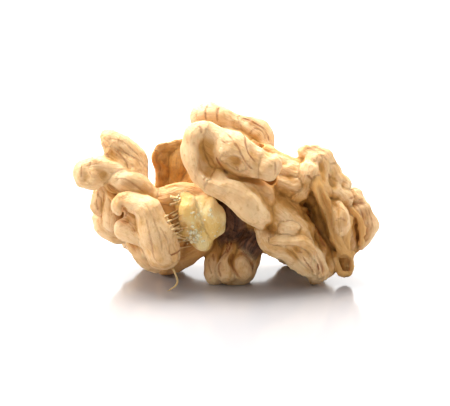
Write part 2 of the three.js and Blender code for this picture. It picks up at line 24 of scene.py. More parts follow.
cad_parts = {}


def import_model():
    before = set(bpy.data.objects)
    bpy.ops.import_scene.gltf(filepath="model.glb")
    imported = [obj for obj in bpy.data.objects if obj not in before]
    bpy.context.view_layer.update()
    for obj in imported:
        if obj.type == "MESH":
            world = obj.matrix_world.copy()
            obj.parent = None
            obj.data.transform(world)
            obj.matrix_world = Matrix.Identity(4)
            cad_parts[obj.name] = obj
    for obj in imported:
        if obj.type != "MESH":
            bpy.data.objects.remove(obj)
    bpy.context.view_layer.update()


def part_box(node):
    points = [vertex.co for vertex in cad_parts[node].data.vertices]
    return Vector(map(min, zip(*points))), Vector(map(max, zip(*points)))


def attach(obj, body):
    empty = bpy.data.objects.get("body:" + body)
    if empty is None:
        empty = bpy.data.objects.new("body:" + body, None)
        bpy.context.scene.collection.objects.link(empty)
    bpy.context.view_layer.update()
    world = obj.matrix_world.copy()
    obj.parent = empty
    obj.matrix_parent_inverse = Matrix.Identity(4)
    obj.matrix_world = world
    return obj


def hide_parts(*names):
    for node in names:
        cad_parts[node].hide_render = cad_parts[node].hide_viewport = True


LOG = logging.getLogger("walnut")
NODE = "walnut_kernel"
BODY = "root"
Station = tuple[float, float, float, float]
Point = tuple[float, float]


class Tissue(Enum):
    """What a lobe's surface is made of."""

    SKIN = "skin"
    PAPER = "paper"
    FLESH = "flesh"
    TORN = "torn"
    # The dark recess behind the leg: partly the membrane's own brown, partly painted shade of the recess.
    THROAT = "throat"
    PLATE = "plate"


class Mark(Enum):
    """How a drawn line shows on the skin."""

    VEIN = "vein"
    GROOVE = "groove"
    CREASE = "crease"
    RIDGE = "ridge"
    STAIN = "stain"


# ---------------------------------------------------------------------------------------------
# Placement


@dataclass(frozen=True)
class Placement:
    """Carries millimetres from the foot into the frame, in metres.

    Attributes:
        unit: metres for one millimetre of the written sizes.
        middle: the point under the middle of the kernel, in written millimetres.
    """

    unit: float
    middle: tuple[float, float, float]

    WRITTEN_LENGTH = 38.1
    FOOT_TO_MIDDLE = (0.14, 2.05, 0.0)

    @classmethod
    def from_frame(cls) -> "Placement":
        """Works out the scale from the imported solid's length along X."""
        low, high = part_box(NODE)
        return cls((high[0] - low[0]) / cls.WRITTEN_LENGTH, cls.FOOT_TO_MIDDLE)

    def to_frame(self, points: np.ndarray) -> np.ndarray:
        """Gives written points in frame metres."""
        return (np.asarray(points, float) - np.array(self.middle)) * self.unit


# ---------------------------------------------------------------------------------------------
# Lobes and the field of distances


def smooth_through(path: np.ndarray, counts: Sequence[int]) -> np.ndarray:
    """Gives points along a smooth curve through a path.

    Args:
        path: the points to pass through, one to a row.
        counts: how many points each stretch between two of them gets.

    Returns:
        The points, one to a row, from the path's first to its last.
    """
    if len(path) == 1:
        return path
    ends = np.vstack([2 * path[0] - path[1], path, 2 * path[-1] - path[-2]])
    out = []
    for i, count in enumerate(counts):
        a, b, c, d = ends[i : i + 4]
        for t in np.arange(count) / count:
            cubic = (3 * b - a - 3 * c + d) * t**3
            out.append(0.5 * (2 * b + (c - a) * t + (2 * a - 5 * b + 4 * c - d) * t**2 + cubic))
    out.append(path[-1])
    return np.array(out)


@dataclass(frozen=True)
class Lobe:
    """A bent, rounded bar of the kernel.

    Attributes:
        name: a maker's name for the fold.
        path: x, y, z and radius of each station.
        tissue: what its surface is.
        melt: how far it runs into what it touches.
        across: the direction it is pressed thin in, or None.
        thin: its thickness in that direction as a share of its width.
        flute: how high its wrinkles are.
    """

    name: str
    path: tuple[Station, ...]
    tissue: Tissue = Tissue.SKIN
    melt: float = 0.45
    across: tuple[float, float, float] | None = None
    thin: float = 1.0
    flute: float = 0.0

    STEPS = 4

    def stations(self) -> np.ndarray:
        """Gives the dense stations along a smooth curve through the written ones."""
        path = np.asarray(self.path, float)
        return smooth_through(path, [self.STEPS] * (len(path) - 1))

    def squeeze(self) -> np.ndarray:
        """Works out how space is widened across a pressed lobe.

        Returns:
            A 3 by 3 matrix.
        """
        if self.across is None:
            return np.eye(3)
        normal = np.array(self.across) / np.linalg.norm(self.across)
        return np.eye(3) + (1 / self.thin - 1) * np.outer(normal, normal)

    def measure(self, points: np.ndarray) -> tuple[np.ndarray, np.ndarray]:
        """Measures how far points are from the lobe's skin.

        Args:
            points: an array whose last axis is x, y, z.

        Returns:
            The distances, less than 0 inside, and for each point its place along the lobe.
        """
        stations = self.stations()
        squeeze = self.squeeze()
        q = points @ squeeze.T
        middle = stations[:, :3] @ squeeze.T
        radius = stations[:, 3]
        best = np.full(points.shape[:-1], np.inf, np.float32)
        along = np.zeros_like(best)
        travelled = 0.0
        for i in range(len(stations) - 1):
            a, step = middle[i], middle[i + 1] - middle[i]
            w = q - a
            t = np.clip((w @ step) / (step @ step), 0, 1)
            reach = np.sqrt(((w - t[..., None] * step) ** 2).sum(-1))
            d = reach - (radius[i] + (radius[i + 1] - radius[i]) * t)
            length = float(np.linalg.norm(stations[i + 1, :3] - stations[i, :3]))
            nearer = d < best
            best = np.where(nearer, d, best)
            along = np.where(nearer, travelled + t * length, along)
            travelled += length
        return best * self.thin, along

    def box(self, margin: float) -> tuple[np.ndarray, np.ndarray]:
        """Works out the box that holds the lobe.

        Args:
            margin: how far the box reaches past the lobe's skin.

        Returns:
            Its lowest and highest corners.
        """
        stations = self.stations()
        reach = stations[:, 3:].max() + margin
        return stations[:, :3].min(0) - reach, stations[:, :3].max(0) + reach


def melted(a: np.ndarray, b: np.ndarray, melt: float) -> np.ndarray:
    """Gives the nearer of two skins, rounded where they cross."""
    h = np.maximum(melt - np.abs(a - b), 0) / melt
    return np.minimum(a, b) - h * h * melt * 0.25


@dataclass
class DistanceGrid:
    """Distances to the kernel's skin on a regular grid, less than 0 inside.

    Attributes:
        low: the grid's lowest corner.
        high: its highest corner.
        cell: the spacing of its points.
        values: the distances, at first all as far as is kept.
    """

    low: tuple[float, float, float]
    high: tuple[float, float, float]
    cell: float
    values: np.ndarray = field(init=False)

    RESERVE = 3.0
    MARGIN = 1.0
    SLOPE_REACH = 0.5

    def __post_init__(self) -> None:
        """Lays out the empty grid."""
        count = np.ceil((np.array(self.high) - self.low) / self.cell).astype(int) + 1
        self.values = np.full(count, self.RESERVE, np.float32)

    def _window(self, low: np.ndarray, high: np.ndarray) -> tuple[tuple[slice, ...], np.ndarray]:
        """Picks the part of the grid between two corners.

        Args:
            low: the lowest corner.
            high: the highest corner.

        Returns:
            The slices of the grid's array, and the places of the points in them.
        """
        start = np.maximum(np.floor((low - self.low) / self.cell).astype(int), 0)
        stop = np.ceil((high - self.low) / self.cell).astype(int) + 1
        stop = np.minimum(stop, self.values.shape)
        axes = [self.low[k] + self.cell * np.arange(start[k], stop[k]) for k in range(3)]
        points = np.stack(np.meshgrid(*axes, indexing="ij"), -1).astype(np.float32)
        return tuple(slice(start[k], stop[k]) for k in range(3)), points

    def add(self, lobe: Lobe) -> None:
        """Melts a lobe into the body.

        Args:
            lobe: the lobe to join on.
        """
        window, points = self._window(*lobe.box(self.MARGIN))
        distance, _ = lobe.measure(points)
        self.values[window] = melted(self.values[window], distance, lobe.melt)

    def carve(self, lobe: Lobe) -> None:
        """Presses a hollow of a lobe's shape into the body.

        Args:
            lobe: the shape of the hollow.
        """
        window, points = self._window(*lobe.box(self.MARGIN))
        distance, _ = lobe.measure(points)
        self.values[window] = -melted(-self.values[window], distance, lobe.melt)

    def flatten_below(self, height: float) -> None:
        """Takes away everything under a plane."""
        heights = self.low[2] + self.cell * np.arange(self.values.shape[2])
        self.values = np.maximum(self.values, (height - heights)[None, None, :].astype(np.float32))

    def sample(self, points: np.ndarray, grid: np.ndarray | None = None) -> np.ndarray:
        """Reads the grid between its points.

        Args:
            points: where to read.
            grid: another array laid out like the values, or None for the values.

        Returns:
            One value for each point.
        """
        data = self.values if grid is None else grid
        q = (np.asarray(points) - self.low) / self.cell
        q = np.clip(q, 0, np.array(data.shape) - 1.001)
        i = q.astype(int)
        f = q - i
        total = np.zeros(len(q))
        for corner in np.ndindex(2, 2, 2):
            weight = np.prod(np.where(corner, f, 1 - f), axis=1)
            total += weight * data[tuple((i + corner).T)]
        return total

    def slope(self, points: np.ndarray) -> np.ndarray:
        """Finds the way straight out of the skin.

        Args:
            points: places near the skin.

        Returns:
            A direction of length 1 for each point.
        """
        steps = [
            self.sample(points + axis) - self.sample(points - axis)
            for axis in self.SLOPE_REACH * np.eye(3)
        ]
        out = np.stack(steps, -1)
        return out / np.maximum(np.linalg.norm(out, axis=1, keepdims=True), 1e-9)

    def crowding(self, reach: float) -> np.ndarray:
        """Works out how much flesh stands round each point of the grid.

        Args:
            reach: how far round each point to look.

        Returns:
            An array like the grid's, from 0 in the open to 1 deep inside.
        """
        solid = np.clip(0.5 - self.values / self.cell, 0, 1).astype(np.float32)
        width = max(int(round(reach / self.cell)), 1)
        for _ in range(2):
            for axis in range(3):
                padded = np.pad(solid, [(width + 1, width) if k == axis else (0, 0) for k in range(3)])
                total = np.cumsum(padded, axis=axis, dtype=np.float64)
                size = solid.shape[axis]
                upper = np.take(total, np.arange(2 * width + 1, 2 * width + 1 + size), axis=axis)
                lower = np.take(total, np.arange(size), axis=axis)
                solid = ((upper - lower) / (2 * width + 1)).astype(np.float32)
        return solid

    def skin(self) -> tuple[np.ndarray, np.ndarray]:
        """Lays quads through the points where the distance is nought.

        Returns:
            The vertices and the quads of the largest closed skin, facing out.
        """
        grid = openvdb.FloatGrid(self.RESERVE)
        grid.copyFromArray(self.values)
        points, quads = grid.convertToQuads(0.0)
        vertices = np.asarray(points, float) * self.cell + np.array(self.low)
        quads = np.asarray(quads, int)
        quads = quads[largest_shell(len(vertices), quads)[quads[:, 0]]]
        used = np.unique(quads)
        place = np.full(len(vertices), -1)
        place[used] = np.arange(len(used))
        vertices, quads = vertices[used], place[quads]
        a, b, c, d = (vertices[quads[:, k]] for k in range(4))
        volume = np.einsum("ij,ij->i", a + b + c + d, np.cross(c - a, d - b)).sum()
        return vertices, quads if volume > 0 else quads[:, ::-1]


def largest_shell(count: int, quads: np.ndarray) -> np.ndarray:
    """Finds the vertices of the largest connected shell.

    Args:
        count: how many vertices there are.
        quads: the faces.

    Returns:
        True for each vertex on the largest shell.
    """
    ends = np.vstack([quads[:, [0, 1]], quads[:, [1, 2]], quads[:, [2, 3]], quads[:, [3, 0]]])
    ends = np.vstack([ends, ends[:, ::-1]])
    ends = ends[np.argsort(ends[:, 0], kind="stable")]
    starts = np.searchsorted(ends[:, 0], np.arange(count + 1))
    targets = ends[:, 1].tolist()
    shell = np.full(count, -1)
    sizes: list[int] = []
    for seed in range(count):
        if shell[seed] >= 0:
            continue
        label = len(sizes)
        shell[seed] = label
        queue = deque([seed])
        size = 1
        while queue:
            vertex = queue.popleft()
            for other in targets[starts[vertex] : starts[vertex + 1]]:
                if shell[other] < 0:
                    shell[other] = label
                    size += 1
                    queue.append(other)
        sizes.append(size)
    return shell == int(np.argmax(sizes))


def vertex_normals(vertices: np.ndarray, quads: np.ndarray) -> np.ndarray:
    """Works out which way the skin faces at each vertex.

    Args:
        vertices: the skin's points.
        quads: its faces.

    Returns:
        A direction of length 1 for each vertex.
    """
    a, b, c, d = (vertices[quads[:, k]] for k in range(4))
    face = np.cross(c - a, d - b)
    normals = np.zeros_like(vertices)
    for k in range(4):
        np.add.at(normals, quads[:, k], face)
    return normals / np.maximum(np.linalg.norm(normals, axis=1, keepdims=True), 1e-12)


# ---------------------------------------------------------------------------------------------
# Noise worked out at points


AXIS_PRIMES = tuple(np.uint64(prime) for prime in (73856093, 19349663, 83492791))
SEED_PRIME = 2654435761
STIRRERS = (np.uint64(0x9E3779B97F4A7C15), np.uint64(0xBF58476D1CE4E5B9))
SHIFTS = (np.uint64(29), np.uint64(32))
LOW_BITS = 0xFFFFFF


def lattice(cells: np.ndarray, seed: int) -> np.ndarray:
    """Draws an even random number for each whole-numbered cell.

    Args:
        cells: an array whose last axis is the cell's three whole numbers.
        seed: which set of numbers to draw.

    Returns:
        The numbers, from -1 to 1.
    """
    x, y, z = (cells[..., k].astype(np.uint64) * AXIS_PRIMES[k] for k in range(3))
    mixed = x ^ y ^ z ^ np.uint64(seed * SEED_PRIME % 2**32)
    for stirrer, shift in zip(STIRRERS, SHIFTS):
        mixed *= stirrer
        mixed ^= mixed >> shift
    return (mixed & np.uint64(LOW_BITS)).astype(np.float64) / (LOW_BITS // 2) - 1


def smooth_noise(points: np.ndarray, size: float, seed: int) -> np.ndarray:
    """Works out smooth noise.

    Args:
        points: where to read it.
        size: how wide its bumps are.
        seed: which noise it is.

    Returns:
        A value from about -1 to 1 for each point.
    """
    q = points / size + 1000
    i = np.floor(q).astype(np.int64)
    f = q - i
    f = f * f * f * (f * (f * 6 - 15) + 10)
    total = np.zeros(len(points))
    for corner in np.ndindex(2, 2, 2):
        weight = np.prod(np.where(corner, f, 1 - f), axis=1)
        total += weight * lattice(i + corner, seed)
    return total


def layered_noise(points: np.ndarray, size: float, seed: int, layers: int = 3) -> np.ndarray:
    """Adds finer and fainter layers of smooth noise."""
    layer = [smooth_noise(points, size / 2**k, seed + k) / 2**k for k in range(layers)]
    return np.sum(layer, axis=0)


def ridged(points: np.ndarray, size: float, seed: int) -> np.ndarray:
    """Gives sharp crests up to 1 with rounded hollows between them."""
    return (1 - np.abs(smooth_noise(points, size, seed))) ** 2


# ---------------------------------------------------------------------------------------------
# Lines drawn on the front of the kernel


@dataclass(frozen=True)
class Stroke:
    """A line drawn on the skin from in front.

    Attributes:
        mark: how it shows.
        width: half the width of its line, groove or ridge.
        depth: how deep a groove or how high a ridge is, or how strong a colour is.
        path: points across and up the drawing plane, which leans back by `Drawing.LEAN`.
    """

    mark: Mark
    width: float
    depth: float
    path: tuple[Point, ...]

    @property
    def carved(self) -> bool:
        """Tells whether the line changes the shape."""
        return self.mark in (Mark.GROOVE, Mark.CREASE, Mark.RIDGE)

    @property
    def coloured(self) -> bool:
        """Tells whether the line is a vein of colour."""
        return self.mark in (Mark.VEIN, Mark.CREASE)


@dataclass(frozen=True)
class Drawing:
    """Throws drawn lines on to the nearest skin.

    `LEAN` is how far the drawing plane leans back, `STEP` the spacing of a thrown line's points,
    `MARCH` and `REACH` the steps and the half length of the throw, `JUMP` the gap that breaks a
    line, `STATION_GAP` how many of its points a tool's station takes, and `FADE` the share of a
    groove over which it rises to the skin at either end.

    Attributes:
        grid: the kernel's distances.
    """

    grid: DistanceGrid

    LEAN = math.radians(15)
    STEP = 0.1
    MARCH = 0.25
    REACH = 16.0
    JUMP = 0.7
    STATION_GAP = 7
    FADE = 0.2

    def project(self, path: Sequence[Point]) -> np.ndarray:
        """Finds where a drawn line meets the skin, seen from in front.

        Args:
            path: points across and up the drawing plane.

        Returns:
            The points on the skin, close together, in written millimetres.
        """
        dense = dense_path(np.asarray(path, float), self.STEP)
        up = np.array([0, math.sin(self.LEAN), math.cos(self.LEAN)])
        away = np.array([0, math.cos(self.LEAN), -math.sin(self.LEAN)])
        start = dense[:, :1] * np.array([1, 0, 0]) + dense[:, 1:] * up - self.REACH * away
        hit = np.full(len(start), np.nan)
        before = self.grid.sample(start)
        for t in np.arange(self.MARCH, 2 * self.REACH, self.MARCH):
            now = self.grid.sample(start + t * away)
            crossed = np.isnan(hit) & (now < 0) & (before >= 0)
            hit[crossed] = t - self.MARCH * (-now[crossed]) / (before[crossed] - now[crossed])
            before = now
        found = ~np.isnan(hit)
        return start[found] + hit[found, None] * away

    def sculpt(self, stroke: Stroke) -> None:
        """Presses a groove into the skin along a stroke, or raises a ridge.

        Args:
            stroke: the line to follow.
        """
        line = self.project(stroke.path)
        gaps = np.linalg.norm(np.diff(line, axis=0), axis=1)
        for run in np.split(line, np.flatnonzero(gaps > self.JUMP) + 1):
            if len(run) > 2 * self.STATION_GAP:
                self._press(stroke, run[:: self.STATION_GAP])

    def _press(self, stroke: Stroke, stations: np.ndarray) -> None:
        """Presses a tool along one unbroken run of points on the skin.

        Args:
            stroke: the line that the run is part of.
            stations: the run's points.
        """
        out = self.grid.slope(stations)
        part = np.linspace(0, 1, len(stations))
        full = np.clip(np.minimum(part, 1 - part) / self.FADE, 0, 1)
        depth = stroke.depth * full - 0.5 * stroke.width * (1 - full)
        side = -1 if stroke.mark is Mark.RIDGE else 1
        middles = stations + out * (side * (stroke.width - depth))[:, None]
        path = tuple((*middle, stroke.width) for middle in middles.tolist())
        tool = Lobe("tool", path, melt=0.5 * stroke.width + 0.1)
        if stroke.mark is Mark.RIDGE:
            self.grid.add(tool)
        else:
            self.grid.carve(tool)


def dense_path(path: np.ndarray, step: float) -> np.ndarray:
    """Gives points about `step` apart along a smooth curve through the path."""
    lengths = np.linalg.norm(np.diff(path, axis=0), axis=1)
    return smooth_through(path, [max(int(length / step), 1) for length in lengths])


# ---------------------------------------------------------------------------------------------
# The folds of the kernel, in millimetres from the middle of the foot

CORES = (
    Lobe("core_left", (
        (-14.3, 2.4, 12, 1.5), (-12.3, 2.2, 9.9, 2.1), (-9.5, 1.5, 8.2, 2.5), (-5.7, 1.8, 8.5, 2.5),
    )),
    Lobe("core_middle", (
        (-4.5, 2.5, 10.5, 2.5), (-1.3, 2, 13.2, 2.8), (1.8, 2, 12.6, 3), (4.6, 1.5, 11.4, 3),
    )),
    Lobe("throat_wall", (
        (1.1, 0.4, 9.4, 1.9), (1.6, 0.2, 7.9, 2), (1.1, 0.4, 6.3, 1.9), (0.6, 0.6, 4.6, 1.9),
    ), tissue=Tissue.THROAT),
    Lobe("core_low", ((-0.1, 4, 8.8, 2.3), (1.6, 4, 6.2, 2.3), (1.1, 3, 3.4, 1.8)), tissue=Tissue.THROAT),
    Lobe("core_right", (
        (5, 1.5, 10.8, 3), (8.1, 1.6, 10.1, 3.3), (11.6, 2, 10.6, 2.8), (13.8, 2.4, 8.8, 2.5),
        (14.2, 2.4, 5.7, 2.1),
    )),
    Lobe("core_rear", (
        (-12, 4.5, 7, 3), (-6, 5, 7.6, 4), (1, 5.2, 9.2, 4.7), (8, 4.8, 8.6, 4.2), (13, 4.2, 7.5, 3),
    )),
    Lobe("core_rear_low", ((-6, 5.5, 4.4, 2.5), (0, 6, 5, 2.7), (6, 5.5, 4.4, 2.5))),
)

LEFT_WING = (
    Lobe("horn", (
        (-15, 1.6, 18.3, 0.9), (-14.2, 1.2, 17.7, 1.4), (-13, 0.9, 16.7, 1.8), (-11.9, 0.8, 15.3, 1.9),
        (-11.7, 0.6, 13.8, 1.7),
    ), melt=0.5),
    Lobe("horn_shoulder", (
        (-14.1, -0.2, 16.4, 1), (-13, -0.8, 15.6, 1.2), (-11.9, -0.9, 14.5, 1.4), (-10.9, -0.6, 12.9, 1.4),
    ), melt=0.9),
    Lobe("horn_hook", ((-14.9, 0.8, 17.7, 0.6), (-14.6, 0.4, 16.7, 0.6), (-14, 0.2, 16.1, 0.7))),
    Lobe("finger_tip", ((-17.6, -1.3, 13.7, 1.1), (-16.6, -1.3, 13.4, 1.1)), melt=0.7),
    Lobe("finger", (
        (-17, -1.3, 14.4, 1.9), (-15.9, -1.5, 14.7, 1.8), (-14.6, -1.2, 14.7, 1.6), (-13.1, -0.8, 14.5, 1.6),
        (-11.8, -0.5, 13.7, 1.6),
    ), melt=0.7),
    Lobe("knuckle", (
        (-14.2, -1.9, 13.9, 0.9), (-12.8, -2.3, 13.6, 1.4), (-11.1, -2.2, 12.8, 1.6), (-9.5, -2, 11.3, 1.5),
    ), melt=0.7),
    Lobe("tuft", (
        (-15.3, 0.8, 11.9, 1), (-15.9, 0.6, 10.9, 1.1), (-16.1, 0.8, 9.5, 1.1),
    ), melt=0.5, across=(-0.35, 1, 0), thin=0.6),
    Lobe("tuft_root", (
        (-14.7, 0.2, 12.1, 1.1), (-14.4, -0.2, 10.7, 1.3), (-14.2, 0, 9.1, 1.3), (-14, 0.4, 7.6, 1.3),
    ), melt=0.6),
    Lobe("hook_flake", (
        (-14.9, -2.4, 13.8, 0.3), (-14.4, -2.4, 12.8, 0.4), (-13.5, -2.6, 12.2, 0.4),
        (-12.7, -2.8, 12.5, 0.3),
    ), tissue=Tissue.PAPER, melt=0.3),
    Lobe("hook_flake_low", (
        (-14.6, -1.6, 12, 0.4), (-14, -2.2, 11.2, 0.4), (-13.7, -2.8, 10.4, 0.3),
    ), tissue=Tissue.PAPER, melt=0.3),
    Lobe("side_belly", (
        (-15.8, 2.4, 7.7, 1.2), (-15.1, 2.2, 6.5, 1.6), (-13.7, 2, 5.9, 1.6), (-11.9, 1.6, 5.9, 1.5),
    ), melt=0.6),
    Lobe("front_finger", (
        (-13, -3.8, 10.1, 0.8), (-12.9, -4.3, 11.1, 1.1), (-11.9, -4.4, 11.3, 1.2), (-10.6, -4.6, 11.1, 1.4),
        (-9.6, -4.9, 10.5, 1.8), (-9, -5.2, 9.2, 2), (-8.6, -5.4, 7.9, 2.2), (-8.3, -5.4, 6.4, 2.3),
        (-7.9, -5.2, 5.1, 2.2), (-7.5, -4.7, 4.2, 1.7),
    ), melt=0.5),
    Lobe("front_knob", ((-12.6, -3.4, 7.5, 1.3), (-11.4, -3.9, 7.4, 1.3), (-10, -4.2, 6.8, 1.4)), melt=0.5),
    Lobe("lower_fold", (
        (-11.5, -1.8, 5.3, 1.1), (-10.7, -2.2, 4.1, 1.1), (-9.8, -2.4, 3.2, 1.1), (-8.6, -2.2, 2.7, 1.2),
    ), melt=0.6),
    Lobe("inner_wall", (
        (-11.7, -2.6, 9.5, 1.1), (-10.8, -3.2, 8.3, 1.4), (-9.9, -3, 6.7, 1.6), (-9.4, -2.6, 5, 1.5),
    ), melt=0.7),
)

MIDDLE = (
    Lobe("bridge", (
        (-10.6, -1.2, 11.6, 1.4), (-8.6, -1.8, 10.7, 1.4), (-6.6, -1.8, 11.4, 1.6), (-4.4, -1.4, 11.4, 1.6),
        (-2.4, -1.6, 11.5, 1.5),
    ), tissue=Tissue.TORN, melt=0.8),
    Lobe("torn_wall", (
        (-7.4, -2.2, 9.6, 1.5), (-6.9, -2.6, 7.9, 1.5), (-6.4, -2.4, 6, 1.5),
    ), tissue=Tissue.TORN, melt=0.7),
    Lobe("under_flesh", (
        (-7.5, 2.2, 1.5, 1.6), (-6.2, 0.2, 3.2, 1.8), (-4.7, -0.6, 4.3, 1.9), (-3.2, -1, 5.5, 1.8),
    ), tissue=Tissue.TORN, melt=0.6, flute=0.14),
    Lobe("flesh_left", (
        (-5, -2.9, 10.9, 1.2), (-4.4, -3.6, 9.8, 1.6), (-4.2, -3.6, 8.4, 1.5), (-4.4, -3, 7.3, 1.2),
    ), tissue=Tissue.FLESH, melt=0.6),
    Lobe("flesh_right", (
        (-2.8, -3.3, 10.5, 1.4), (-1.8, -4, 9.7, 1.7), (-1.5, -3.8, 8.1, 1.4),
    ), tissue=Tissue.FLESH, melt=0.6),
    Lobe("flesh_low", ((-3.5, -3.5, 7.9, 1.4), (-3, -3.6, 6.5, 1.5)), tissue=Tissue.FLESH, melt=0.6),
    Lobe("back_plate_top", (
        (-8, 3.4, 16.1, 1), (-6.7, 3.4, 16.3, 1), (-5.2, 3.4, 16.6, 1),
    ), tissue=Tissue.PLATE, melt=0.3, across=(-0.25, 1, 0.1), thin=0.6),
    Lobe("back_plate", (
        (-7.2, 3.4, 14.8, 1.6), (-7.2, 3.3, 13.3, 1.6), (-7.1, 3.1, 11.5, 1.6),
    ), tissue=Tissue.PLATE, melt=0.3, across=(-0.25, 1, 0.1), thin=0.5),
    Lobe("back_plate_root", (
        (-5.5, 3.4, 15.1, 1.6), (-5.4, 3.3, 13.6, 1.9), (-5.5, 3.2, 12, 2),
    ), tissue=Tissue.PLATE, melt=0.3),
    Lobe("plate_edge", (
        (-8.6, 3, 15.8, 0.5), (-8.9, 3, 15.2, 0.5), (-8.7, 3, 13.9, 0.5), (-8.5, 3, 12.6, 0.5),
        (-8.4, 3, 11.4, 0.5),
    ), tissue=Tissue.PAPER, melt=0.25),
)

CROWN = (
    Lobe("crown_left", (
        (-3, -2.8, 20.1, 1), (-3.8, -3.3, 19.5, 1.3), (-4.1, -3.8, 18.2, 1.5), (-3.9, -4.3, 16.7, 1.6),
        (-3, -4.7, 15.3, 1.5), (-1.9, -4.9, 14.4, 1.5),
    ), melt=0.5),
    Lobe("crown_right", (
        (-2.2, -2.4, 19.2, 1.7), (0.1, -2.8, 17.6, 2.6), (1.7, -3.2, 16.8, 2.5), (3.4, -3.7, 16.2, 2),
    ), melt=0.5),
    Lobe("crown_knob", ((4, -3.8, 16.2, 1.7), (5.3, -4.3, 15.8, 1.6)), melt=0.35),
    Lobe("crown_fill", ((0.1, -4.4, 17.1, 1.2), (1.3, -4.6, 16.7, 1.3), (2.5, -4.4, 16.1, 1.1)), melt=0.9),
    Lobe("crown_floor", (
        (-2.5, -2, 18.8, 1.5), (-1.8, -2.6, 17.5, 1.6), (-0.9, -2.9, 16, 1.6), (0.1, -2.9, 15, 1.6),
        (1.8, -2.6, 14, 1.6),
    ), melt=0.6),
    Lobe("leg", (
        (-1.9, -4.9, 14.4, 1.5), (-0.8, -5.1, 13.8, 1.7), (0.9, -5.2, 12.9, 1.8), (2.6, -5.2, 11.5, 1.9),
        (3.7, -5.1, 10.3, 1.9), (4.4, -4.8, 9.7, 1.5),
    ), melt=0.5),
    Lobe("leg_shoulder", ((0.8, -3.4, 13.5, 1.6), (2.6, -3.6, 12.8, 1.7), (4.5, -3.6, 11.9, 1.7)), melt=0.9),
    Lobe("rear_crown", (
        (-3.3, 4.2, 20.3, 1.4), (-1.9, 4.2, 20.4, 1.7), (-0.4, 4.4, 19.9, 1.6), (1.3, 4.6, 19.2, 1.4),
    ), melt=0.4),
    Lobe("rear_crown_end", (
        (1.8, 4.4, 19.4, 1.1), (3.2, 4.6, 18.5, 1.6), (4.4, 4.4, 17.5, 1.7), (4.7, 4.2, 16.3, 1.4),
    ), melt=0.35),
    Lobe("rear_crown_body", ((-2.6, 4, 17.9, 2), (0.6, 3.8, 16.7, 2.3), (3.3, 3.6, 15.4, 2))),
    Lobe("rear_top", (
        (-3.4, 4.8, 16.8, 1.7), (-2.2, 6, 17.6, 1.8), (0.8, 6.2, 17.4, 1.8), (3.6, 5.6, 16.4, 1.8),
    )),
)

